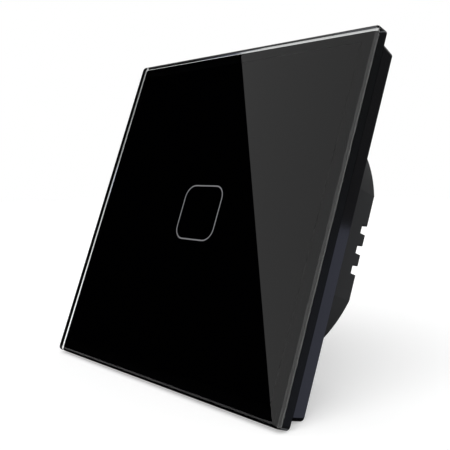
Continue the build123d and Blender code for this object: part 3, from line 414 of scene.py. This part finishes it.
# %% Bands of the resistor: millimetres from its middle, and colour
BANDS = ((-2.2, (0.25, 0.09, 0.03, 1)), (-0.8, (0.01, 0.01, 0.01, 1)),
         (0.6, (0.3, 0.02, 0.02, 1)), (2.4, (0.45, 0.3, 0.06, 1)))
BAND_WIDTH = 0.6 * MM
rod_low, rod_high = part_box("fuse_resistor")
rod_middle = (rod_low.x + rod_high.x) / 2
across, _, _ = resistor.axes(resistor.place())
coat = resistor.shade(resistor.noise(1.5 * MM), 0.12)
for offset, band_colour in BANDS:
    here = (across - rod_middle - offset * MM).size() < BAND_WIDTH / 2
    coat = resistor.mixed(here, coat, band_colour)
resistor.set("Base Color", coat)
print("finishes made:", len(finishes), "missing:", sorted(set(colours) - set(finishes)))

# %% [markdown]
# ## Each piece takes its finish
#
# The record says which slot a piece takes. The pieces are coloured by that table, so a piece that
# is added later gets its finish without a new line here.

# %% Give the pieces their finishes
piece_slots = {row["node"]: row["material_slot"] for row in frame["record"]["subparts"]}
for name, slot_name in piece_slots.items():
    piece = nodes[name]
    piece.data.materials.clear()
    piece.data.materials.append(finishes[slot_name].material)
print("pieces dressed:", len(piece_slots))

# %% [markdown]
# ## The glass plate
#
# The solid of the panel has one flat bevel. The real edge is polished in passes, a steep one and a
# shallow one with soft turns between them, so the plate is made again here from rings: rounded
# squares that start at the back, go round the chamfer, up the side, over the front edge and in to
# the groove of the mark. All rings have the same number of points, so each joins the next with
# quads.

# %% Rings
CORNER_STEPS = 7


def rounded_square(half, corner, level, middle):
    """The points of a rounded square that faces the viewer, in order round it."""
    points = []
    for quarter in range(4):
        for step in range(CORNER_STEPS + 1):
            angle = math.pi / 2 * (quarter + step / CORNER_STEPS)
            sign_x = 1 if quarter in (0, 3) else -1
            sign_z = 1 if quarter in (0, 1) else -1
            points.append(Vector((
                sign_x * (half - corner) + corner * math.cos(angle) + middle.x, level,
                sign_z * (half - corner) + corner * math.sin(angle) + middle.z)))
    return points


def ringed(name, rings, finish_names, materials):
    """A closed shell from rings: a cap, a band between each pair of rings, and a cap. Each of these
    has its own finish."""
    vertices = [point for ring in rings for point in ring]
    count = len(rings[0])
    faces = [tuple(reversed(range(count)))]
    which = [finish_names[0]]
    for band in range(len(rings) - 1):
        for k in range(count):
            here = band * count + k
            after = band * count + (k + 1) % count
            faces.append((here, after, after + count, here + count))
            which.append(finish_names[band + 1])
    faces.append(tuple(range((len(rings) - 1) * count, len(rings) * count)))
    which.append(finish_names[-1])
    mesh = bpy.data.meshes.new(name)
    mesh.from_pydata(vertices, [], faces)
    order = sorted(set(which))
    for key in order:
        mesh.materials.append(materials[key])
    for polygon, key in zip(mesh.polygons, which):
        polygon.material_index = order.index(key)
    mesh.update()
    shell = bpy.data.objects.new(name, mesh)
    bpy.context.scene.collection.objects.link(shell)
    return shell


# %% Measures of the plate and of the mark's groove
mark_low, mark_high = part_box("touch_mark")
plate_middle = (glass_low + glass_high) / 2
plate_half = (glass_high.x - glass_low.x) / 2
plate_front, plate_back = glass_low.y, glass_high.y
mark_middle = (mark_low + mark_high) / 2
mark_half = (mark_high.x - mark_low.x) / 2
mark_depth = mark_high.y - mark_low.y
PLATE_CORNER = 1.0 * MM
SMALLEST_CORNER = 0.08 * MM
BACK_CHAMFER = 0.3 * MM
RIM_WIDTH = 3.6 * MM
MARK_CORNER = 3.0 * MM
MARK_LINE = 0.3 * MM
# The polished edge, from the side to the front: millimetres in from the side, and behind the front.
EDGE_PROFILE = ((0.0, 0.44), (0.03, 0.38), (0.13, 0.2), (0.2, 0.13),
                (0.52, 0.045), (0.7, 0.008), (0.9, 0.0))
print("plate thickness in millimetres:", round((plate_back - plate_front) / MM, 2))


# %% Plate, from the back to the groove and the island inside it
def plate_ring(inset, level):
    """The plate's outline, a little smaller, at some depth."""
    corner = max(PLATE_CORNER - inset, SMALLEST_CORNER)
    return rounded_square(plate_half - inset, corner, level, plate_middle)


rings = [plate_ring(BACK_CHAMFER, plate_back), plate_ring(0, plate_back - BACK_CHAMFER)]
kinds = ["clear", "clear"]
for inset, depth in EDGE_PROFILE:
    rings.append(plate_ring(inset * MM, plate_front + depth * MM))
    kinds.append("clear" if inset else "ground")
rings.append(plate_ring(RIM_WIDTH, plate_front))
kinds.append("clear")
for inset, level in ((0, 0), (0, mark_depth), (MARK_LINE, mark_depth), (MARK_LINE, 0)):
    rings.append(rounded_square(
        mark_half - inset, MARK_CORNER - inset, plate_front + level, mark_middle))
    kinds.append("middle")
kinds.append("middle")
plate = ringed("glass_plate", rings, kinds, {
    "clear": rim.material, "middle": glass.material, "ground": ground.material})
print("glass plate faces:", len(plate.data.polygons))
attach(plate, "panel")
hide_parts("glass_panel")

# %% Print on the plate's back, a thin layer just inside it
PRINT_MARGIN = 0.38 * MM
PRINT_LEVELS = (0.01 * MM, 0.03 * MM)
layer_rings = [plate_ring(PRINT_MARGIN, plate_back - level) for level in PRINT_LEVELS]
layer = ringed("back_print", layer_rings, ["print"] * 3, {"print": print_layer.material})
print("back print faces:", len(layer.data.polygons))
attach(layer, "panel")

# %% [markdown]
# ## Growing what repeats
#
# Wire turns, solder joints and small chips are one shape many times over. Each would be tedious to
# place by hand, and copies in a loop leave hundreds of objects. Geometry Nodes do it in one tree
# with named inputs, so that the number of turns or the size of a chip is one value. The tree is
# built here, fed, evaluated once, and its result kept as a plain mesh.


# %% A geometry tree with named inputs
WIRE_SIDES = 6


class Growth:
    """A tree of geometry nodes. Its inputs are named when it is made and valued when it grows."""

    def __init__(self, name, **inputs):
        self.tree = bpy.data.node_groups.new(name, "GeometryNodeTree")
        sockets = self.tree.interface
        sockets.new_socket("Geometry", in_out="INPUT", socket_type="NodeSocketGeometry")
        sockets.new_socket("Geometry", in_out="OUTPUT", socket_type="NodeSocketGeometry")
        for label, kind in inputs.items():
            sockets.new_socket(label, in_out="INPUT", socket_type="NodeSocket" + kind)
        self.entry = self.tree.nodes.new("NodeGroupInput").outputs

    def node(self, kind, settings=None, inputs=None, output=0):
        """Add one node and give back one of its outputs. Inputs are values or outputs of nodes."""
        made = self.tree.nodes.new(kind)
        for name, value in (settings or {}).items():
            setattr(made, name, value)
        for name, value in (inputs or {}).items():
            for item in value if isinstance(value, list) else [value]:
                if isinstance(item, bpy.types.NodeSocket):
                    self.tree.links.new(item, made.inputs[name])
                else:
                    made.inputs[name].default_value = item
        return made.outputs[output]

    def wire(self, path, caps=False):
        """A round wire along a path, as thick as the input Wire says."""
        profile = self.node("GeometryNodeCurvePrimitiveCircle", None, {
            "Resolution": WIRE_SIDES, "Radius": self.entry["Wire"]})
        return self.node("GeometryNodeCurveToMesh", None, {
            "Curve": path, "Profile Curve": profile, "Fill Caps": caps})

    def close(self, geometry, finish, smooth=False):
        """Make instances real, give them their material and lead the result out."""
        real = self.node("GeometryNodeRealizeInstances", None, {0: geometry})
        dressed = self.node("GeometryNodeSetMaterial", None, {
            "Geometry": real, "Material": finish.material})
        shaded = self.node("GeometryNodeSetShadeSmooth", None, {0: dressed, "Shade Smooth": smooth})
        leave = self.tree.nodes.new("NodeGroupOutput")
        self.tree.links.new(shaded, leave.inputs[0])

    def grow(self, name, body, slot_name, points=(), **values):
        """Run the tree over some points and keep the result as a mesh that rides a body."""
        seed_mesh = bpy.data.meshes.new(name + "_seed")
        seed_mesh.from_pydata([Vector(point) for point in points], [], [])
        seed = bpy.data.objects.new(name + "_seed", seed_mesh)
        bpy.context.scene.collection.objects.link(seed)
        modifier = seed.modifiers.new("growth", "NODES")
        modifier.node_group = self.tree
        for item in self.tree.interface.items_tree:
            if item.in_out == "INPUT" and item.name in values:
                modifier[item.identifier] = values[item.name]
        bpy.context.view_layer.update()
        grown = seed.evaluated_get(bpy.context.evaluated_depsgraph_get())
        piece = bpy.data.objects.new(name, bpy.data.meshes.new_from_object(grown))
        bpy.data.objects.remove(seed)
        bpy.context.scene.collection.objects.link(piece)
        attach(piece, body)
        print(name, "faces:", len(piece.data.polygons))
        return piece


# %% [markdown]
# ## Wire on the relay's coil
#
# The solid is a plain tube. The wire is one long helix, a spiral curve with a round profile. Its
# turns touch, so nothing shows between them, and the light breaks into fine lines along the coil.

# %% Relay coil
TURN_SEGMENTS = 20
COIL_WIRE = 0.13 * MM
coil_low, coil_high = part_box("relay_winding")
coil_middle = (coil_low + coil_high) / 2
coil_radius = (coil_high.z - coil_low.z) / 2
coil_run = coil_high.x - coil_low.x - 2 * COIL_WIRE
helix = Growth("helix", Turns="Float", Radius="Float", Length="Float", Wire="Float", Start="Vector")
spiral = helix.node("GeometryNodeCurveSpiral", None, {
    "Resolution": TURN_SEGMENTS, "Rotations": helix.entry["Turns"],
    "Start Radius": helix.entry["Radius"], "End Radius": helix.entry["Radius"],
    "Height": helix.entry["Length"]})
laid = helix.node("GeometryNodeTransform", None, {
    "Geometry": helix.wire(spiral, True), "Translation": helix.entry["Start"],
    "Rotation": (0, math.pi / 2, 0)})
helix.close(laid, finishes["copper_wire"], True)
coil = helix.grow(
    "relay_coil_wire", "base", "copper_wire",
    Turns=coil_run / (2 * COIL_WIRE), Radius=coil_radius - COIL_WIRE, Length=coil_run,
    Wire=COIL_WIRE, Start=(coil_low.x + COIL_WIRE, coil_middle.y, coil_middle.z))
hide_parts("relay_winding")

# %% [markdown]
# ## Turns on the transformer
#
# The transformer's wire is thicker and lies round a square post. One rounded square is copied up a
# line of points. A stack of closed rings looks the same as a helix here and is simpler to fit.

# %% Transformer turns
TURN_WIRE = 0.2 * MM
TURN_CORNER = 1.0 * MM
turns_low, turns_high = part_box("transformer_winding")
turns_middle = (turns_low + turns_high) / 2
stack = Growth("stack", Count="Int", Width="Float", Depth="Float", Wire="Float",
               Start="Vector", Step="Vector")
outline = stack.node("GeometryNodeCurvePrimitiveQuadrilateral", None, {
    0: stack.entry["Width"], 1: stack.entry["Depth"]})
rounded = stack.node("GeometryNodeFilletCurve", {"mode": "POLY"}, {
    "Curve": outline, "Count": 4, "Radius": TURN_CORNER, "Limit Radius": True})
flat_ring = stack.node("GeometryNodeTransform", None, {
    "Geometry": stack.wire(rounded), "Rotation": (math.pi / 2, 0, 0)})
line = stack.node("GeometryNodeMeshLine", {"mode": "OFFSET"}, {
    "Count": stack.entry["Count"], "Start Location": stack.entry["Start"],
    "Offset": stack.entry["Step"]})
rings_up = stack.node("GeometryNodeInstanceOnPoints", None, {"Points": line, "Instance": flat_ring})
stack.close(rings_up, finishes["copper_wire"], True)
turn_count = int((turns_high.y - turns_low.y) / (2 * TURN_WIRE))
turns = stack.grow(
    "transformer_turns", "base", "copper_wire",
    Count=turn_count, Width=turns_high.x - turns_low.x - 2 * TURN_WIRE,
    Depth=turns_high.z - turns_low.z - 2 * TURN_WIRE, Wire=TURN_WIRE,
    Start=(turns_middle.x, turns_low.y + TURN_WIRE, turns_middle.z),
    Step=(0, (turns_high.y - turns_low.y - 2 * TURN_WIRE) / (turn_count - 1), 0))
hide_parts("transformer_winding")

# %% [markdown]
# ## Solder joints
#
# Every lead that goes through a board ends in a small cone of solder on the far side, with the
# lead's clipped tip in its middle. No two are quite alike, so each copy is turned and scaled by a
# random number with a fixed seed.

# %% A solder joint: a cone and the clipped tip of the lead
TIP_RADIUS, TIP_HEIGHT = 0.2 * MM, 0.8 * MM
CONE_TOP, CONE_HEIGHT = 0.22 * MM, 0.5 * MM
SMALLEST_JOINT, LARGEST_JOINT = (0.85, 0.8, 0.85), (1.1, 1.0, 1.1)
solder = metal("solder", (0.62, 0.62, 0.63), 0.24, cloud=0.08)
joint = Growth("solder_joint", Seed="Int", Foot="Float")
cone = joint.node("GeometryNodeMeshCone", None, {
    "Vertices": 14, "Side Segments": 3, "Radius Top": CONE_TOP,
    "Radius Bottom": joint.entry["Foot"], "Depth": CONE_HEIGHT})
tip = joint.node("GeometryNodeMeshCylinder", None, {
    "Vertices": 10, "Radius": TIP_RADIUS, "Depth": TIP_HEIGHT})
lifted_tip = joint.node("GeometryNodeTransform", None, {
    "Geometry": tip, "Translation": (0, 0, TIP_HEIGHT / 2)})
bump = joint.node("GeometryNodeJoinGeometry", None, {0: [cone, lifted_tip]})
facing = joint.node("GeometryNodeTransform", None, {
    "Geometry": bump, "Rotation": (math.pi / 2, 0, 0)})
turned = joint.node("FunctionNodeRandomValue", {"data_type": "FLOAT_VECTOR"}, {
    0: (0, -math.pi, 0), 1: (0, math.pi, 0), "Seed": joint.entry["Seed"]})
size = joint.node("FunctionNodeRandomValue", {"data_type": "FLOAT_VECTOR"}, {
    0: SMALLEST_JOINT, 1: LARGEST_JOINT, "Seed": joint.entry["Seed"]})
joints = joint.node("GeometryNodeInstanceOnPoints", None, {
    "Points": joint.entry["Geometry"], "Instance": facing, "Rotation": turned, "Scale": size})
joint.close(joints, solder, True)
print("nodes in the joint's tree:", len(joint.tree.nodes))

# %% Joints on the power board, at the leads of its parts, given as x and z in millimetres
LEADS = [(-20.2, -2), (-20.2, 4), (-8.8, -1.4), (-4.5, -1.4), (20.6, -4.5), (20.6, 5.5),
         (11.8, -12.2), (16.2, -12.2), (-19, -12.2), (-11, -12.2), (13.9, 16), (16.9, 16),
         (-5, -20.5), (0, -20.5), (5, -20.5), (-12, 15), (-12, 17), (9.5, 15), (9.5, 17)]
LEADS += [(x, z) for x in (4.6, 6.8, 9.2, 11.4) for z in (-2, 6)]
board_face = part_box("power_board")[0].y
lead_points = [(x * MM, board_face, z * MM) for x, z in LEADS]
joint.grow("power_solder", "base", "shield_metal", lead_points, Seed=3, Foot=0.75 * MM)

# %% Joints on the touch board, at its row of pins
PIN_COUNT = 5
ROW_START, ROW_SPAN = 0.03, 0.94  # shares of the row's width
pins_low, pins_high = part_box("header_pins")
pin_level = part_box("touch_board")[0].y
pin_height = (pins_low.z + pins_high.z) / 2
pin_points = []
for k in range(PIN_COUNT):
    share = ROW_START + ROW_SPAN * k / (PIN_COUNT - 1)
    pin_points.append((pins_low.x + (pins_high.x - pins_low.x) * share, pin_level, pin_height))
joint.grow("pin_solder", "base", "shield_metal", pin_points, Seed=5, Foot=0.62 * MM)

# %% [markdown]
# ## Small chips
#
# Chip resistors and capacitors sit in loose rows. A grid of points gives the places, a random
# number leaves some of them empty, and another turns some by a right angle. Each chip is a dark
# body between two tinned ends.


# %% A tree that lays chips out in rows
def chip_rows(name, finish, blocks):
    """Chips on a grid. Each block of a chip has length, width, height and place, in millimetres."""
    rows = Growth(name, Width="Float", Height="Float", Columns="Int", Rows="Int", Kept="Float",
                  Seed="Int", Middle="Vector")
    placed_blocks = []
    for length, width, height, place in blocks:
        block = rows.node("GeometryNodeMeshCube", None, {
            "Size": (length * MM, height * MM, width * MM)})
        placed_blocks.append(rows.node("GeometryNodeTransform", None, {
            "Geometry": block, "Translation": (place * MM, -height * MM / 2, 0)}))
    chip = rows.node("GeometryNodeJoinGeometry", None, {0: placed_blocks})
    grid = rows.node("GeometryNodeMeshGrid", None, {
        "Size X": rows.entry["Width"], "Size Y": rows.entry["Height"],
        "Vertices X": rows.entry["Columns"], "Vertices Y": rows.entry["Rows"]})
    upright = rows.node("GeometryNodeTransform", None, {
        "Geometry": grid, "Rotation": (math.pi / 2, 0, 0), "Translation": rows.entry["Middle"]})
    kept = rows.node("FunctionNodeRandomValue", {"data_type": "BOOLEAN"}, {
        "Probability": rows.entry["Kept"], "Seed": rows.entry["Seed"]}, 3)
    quarter = rows.node("FunctionNodeRandomValue", {"data_type": "INT"}, {
        4: 0, 5: 1, "Seed": rows.entry["Seed"]}, 2)
    angle = rows.node("ShaderNodeMath", {"operation": "MULTIPLY"}, {0: quarter, 1: math.pi / 2})
    turn_by = rows.node("ShaderNodeCombineXYZ", None, {"Y": angle})
    placed = rows.node("GeometryNodeInstanceOnPoints", None, {
        "Points": upright, "Selection": kept, "Instance": chip, "Rotation": turn_by})
    rows.close(placed, finish)
    return rows


chips = chip_rows("chip_rows", finishes["chip_resin"], ((1.1, 0.75, 0.45, 0.0),))
ends = chip_rows("chip_ends", solder, ((0.35, 0.8, 0.5, -0.7), (0.35, 0.8, 0.5, 0.7)))

# %% Chips on both boards
SHARE_KEPT = 0.72
FIELDS = (  # name, board's face, middle x and z, width and height in mm, columns, rows, seed
    ("left", board_face, -13, -18.5, 9, 4.4, 4, 3, 2),
    ("right", board_face, 13.5, -18.5, 8, 4.4, 4, 3, 7),
    ("upper", board_face, 0, 23.2, 18, 2.6, 8, 2, 4),
    ("touch", pin_level, 0, -14.4, 24, 2.6, 10, 2, 9))
for label, level, x, z, width, height, columns, row_count, seed in FIELDS:
    values = {"Width": width * MM, "Height": height * MM, "Columns": columns, "Rows": row_count,
              "Kept": SHARE_KEPT, "Seed": seed, "Middle": (x * MM, level, z * MM)}
    chips.grow(label + "_chips", "base", "chip_resin", **values)
    ends.grow(label + "_chip_ends", "base", "shield_metal", **values)

# %% [markdown]
# ## A white studio for black glass
#
# Black glass has no colour of its own: it shows what stands round it. A photographer puts black
# cards in front of it, and one grey card whose edge runs across the panel, and long lamps above and
# to the left that the bevel picks up as bright lines. The cards are far away here: the world's
# shader answers a glossy ray by its direction alone. The camera sees plain white, and matt
# surfaces are lit by an even sky, at a level at which a colour renders about as it is written.

# %% Camera, fitted to the corners of the glass in the photograph
CAMERA_PLACE = Vector((0.12633, -0.10873, -0.02945))
camera_right = Vector((0.666201, 0.698939, 0.260117))
camera_down = Vector((0.054871, 0.301905, -0.951758))
camera_forward = Vector((-0.743751, 0.648335, 0.162778))
FOCAL_PIXELS = 716.0
FRAME_PIXELS = 450.0
camera_data = bpy.data.cameras.new("camera")
camera_data.sensor_width = 36.0
camera_data.lens = FOCAL_PIXELS / FRAME_PIXELS * camera_data.sensor_width
camera_data.clip_start = 0.01
camera = bpy.data.objects.new("camera", camera_data)
bpy.context.scene.collection.objects.link(camera)
turn = Matrix((camera_right, -camera_down, -camera_forward)).transposed()
camera.matrix_world = Matrix.Translation(CAMERA_PLACE) @ turn.to_4x4()
bpy.context.scene.camera = camera
bpy.context.scene.view_settings.view_transform = "Standard"
print("lens in millimetres:", round(camera_data.lens, 2))

# %% The edge of the grey card, through two points of the glass where the photograph shows it
mirrored_camera = Vector((CAMERA_PLACE.x, 2 * plate_front - CAMERA_PLACE.y, CAMERA_PLACE.z))
edge_top = Vector((0.0002, plate_front, 0.0383))
edge_bottom = Vector((0.0375, plate_front, -0.0394))
card_normal = (edge_top - mirrored_camera).cross(edge_bottom - mirrored_camera).normalized()
print("card edge normal:", [round(v, 3) for v in card_normal])

# %% The world's directions, and a card that stands between given leans
world = bpy.data.worlds.new("studio")
bpy.context.scene.world = world
world.use_nodes = True
sky = Tree(world.node_tree)
x, y, z = sky.axes(sky.node("TexCoord", None, None, "Generated"))
ahead = y < 0.0
sideways = x / y  # how far to the left a ray that goes to the front leans
upwards = z / (0.0 - y)  # how far up it leans
beyond_edge = (x * card_normal.x + y * card_normal.y + z * card_normal.z) > 0.0


def card(first, last, low, high):
    """1 where a ray leans to the left from first to last, and up from low to high."""
    return sideways.within(first, last) * upwards.within(low, high)


RIGHT_END, CARD_START, LAMP_START, LAMP_END = 0.26, 0.7, 2.2, 4.2  # leans to the left
CARD_TOP, LAMP_LOW, LAMP_TOP = 0.85, 1.0, 1.25  # leans upwards
print("the left lamp begins", round(math.degrees(math.atan(LAMP_START))), "degrees to the left")

# %% What stands in front: cards, lamps and a dim room
card_level = upwards.between(-0.15, 0.7, 0.7, 0.56)  # a little darker further up
grey_card = beyond_edge * card(CARD_START, LAMP_START, -0.2, CARD_TOP) * card_level
low_card = card(CARD_START, LAMP_START, -0.65, -0.17) * 0.62
right_card = sideways.between(0.1, RIGHT_END, 0.0, 1.0) * (sideways < CARD_START)
right_card = right_card * (upwards < CARD_TOP) * 1.75
to_left = x.between(-0.58, -0.35, 1.0, 0.0)
top_lamp = to_left * upwards.within(LAMP_LOW, LAMP_TOP) * (sideways < LAMP_START)
top_lamp = top_lamp * x.between(-0.81, -0.58, 0.5, 2.4)
above_lamp = to_left * (upwards > LAMP_TOP) * (sideways < LAMP_END)
above_lamp = above_lamp * x.between(-0.81, -0.58, 0.2, 0.8)
left_lamp = card(LAMP_START, LAMP_END, -0.25, LAMP_TOP) * z.between(-0.054, 0.33, 5.5, 1.8)
beside_lamp = (sideways > LAMP_END) * 0.15
near_room = sideways.between(-1.2, -0.4, 1.1, 0.35)
far_room = sideways.between(-6.0, -2.5, 1.4, 0.0)
room = (sideways < RIGHT_END) * (near_room + far_room)
cards = grey_card + right_card + low_card + room
in_front = ahead * (cards + top_lamp + above_lamp + left_lamp + beside_lamp)
print("nodes for what stands in front:", len(sky.tree.nodes))

# %% What stands behind, and what each kind of ray is answered
SKY_LEVEL = 0.55
BLUE_LEVEL = 0.55
ABOVE = 0.2
blue_card = (1.0 - ahead) * z.within(-ABOVE, ABOVE)
behind = blue_card * BLUE_LEVEL + (1.0 - ahead) * (z > ABOVE) * z.between(0.5, 0.7, 0.06, 1.0)
seen = sky.node("LightPath", None, None, "Is Camera Ray")
through = sky.node("LightPath", None, None, "Is Transmission Ray")
glossy = sky.node("LightPath", None, None, "Is Glossy Ray")
matt = 1.0 - (seen + through + glossy).within(0.5, 3.5)
from_left = 0.2 + 0.9 * (x < -0.55)
strength = seen + through * from_left + glossy * (in_front + behind) + matt * SKY_LEVEL
tint = sky.mixed(blue_card * glossy, (1, 1, 1, 1), (0.72, 0.76, 1, 1))
background = sky.node("Background", None, {"Color": tint, "Strength": strength})
world_output = sky.tree.nodes.new("ShaderNodeOutputWorld")
sky.tree.links.new(background.socket, world_output.inputs["Surface"])
world.cycles.sampling_method = "NONE"
print("world nodes:", len(sky.tree.nodes))

# %% Key light, from the front, broad and soft
key_data = bpy.data.lights.new("key", "SUN")
key_data.angle = math.radians(60)
key_data.energy = 1.6
key = bpy.data.objects.new("key", key_data)
bpy.context.scene.collection.objects.link(key)
key.location = (0.16, -0.45, 0.18)
key.rotation_euler = (-key.location).to_track_quat("-Z", "Y").to_euler()
key.visible_glossy = False
key.visible_camera = False
print("key light strength:", round(key_data.energy, 2))

# %% [markdown]
# ## The table
#
# The switch lies on the table on the glass's lower edge and on the foot of its housing, so the
# table's plane leans against the wall's. It is white where the light reaches it and keeps a soft
# shadow. Seen from below it lets everything through, so that it hides nothing from there. What the
# bright lines at the glass's rim show is this table, seen through the glass, and it answers those
# rays with a glow that is brighter near the switch than far away. Under the switch that glow is
# left out, a painted shadow where the switch shades the table.

# %% Table plane
TABLE_DROP = -39.0125 * MM
TABLE_SLOPE = 0.375
TABLE_REACH = 0.9
table_mesh = bpy.data.meshes.new("table")
corners = [(sx * TABLE_REACH, sy * TABLE_REACH, TABLE_DROP + TABLE_SLOPE * sy * TABLE_REACH)
           for sx, sy in ((-1, -1), (1, -1), (1, 1), (-1, 1))]
table_mesh.from_pydata(corners, [], [(0, 1, 2, 3)])
table = bpy.data.objects.new("table", table_mesh)
bpy.context.scene.collection.objects.link(table)
table.visible_glossy = False
print("table's lean in degrees:", round(math.degrees(math.atan(TABLE_SLOPE)), 1))

# %% Table finish, for the camera, for rays that come through the glass, and from below
CAMERA_GLOW = 0.36
RIM_GLOW = 1.15
NEAR, MIDDLE, FAR = 15 * MM, 90 * MM, 400 * MM
table_finish = bpy.data.materials.new("table_white")
table_finish.use_nodes = True
top = Tree(table_finish.node_tree)
white = top.node("BsdfDiffuse", None, {"Color": (0.85, 0.85, 0.85, 1)})
glow = top.node("Emission", None, {"Color": (1, 1, 1, 1), "Strength": CAMERA_GLOW})
lit = top.node("AddShader", None, {0: white, 1: glow})
by_camera = top.node("LightPath", None, None, "Is Camera Ray")
top_side = top.node("MixShader", None, {0: by_camera, 1: white, 2: lit})
across, inward, _ = top.axes(top.node("TexCoord", None, None, "Object"))
falloff = inward.between(NEAR, MIDDLE, 1.0, 0.65) * inward.between(MIDDLE, FAR, 1.0, 0.45)
# Painted shadow: no glow for rays through the glass where the table lies under the switch
painted_shadow_under_switch = across.within(-41 * MM, 41 * MM) * inward.within(-60 * MM, 60 * MM)
rim_light = top.node("Emission", None, {
    "Color": falloff * (1.0 - painted_shadow_under_switch), "Strength": RIM_GLOW})
through_glass = top.node("LightPath", None, None, "Is Transmission Ray")
answer = top.node("MixShader", None, {0: through_glass, 1: top_side, 2: rim_light})
from_below = top.node("NewGeometry", None, None, "Backfacing")
clear = top.node("BsdfTransparent")
surface = top.node("MixShader", None, {0: from_below, 1: answer, 2: clear})
table_output = top.tree.nodes.new("ShaderNodeOutputMaterial")
top.tree.links.new(surface.socket, table_output.inputs["Surface"])
table_mesh.materials.append(table_finish)
print("nodes in the table's finish:", len(top.tree.nodes))
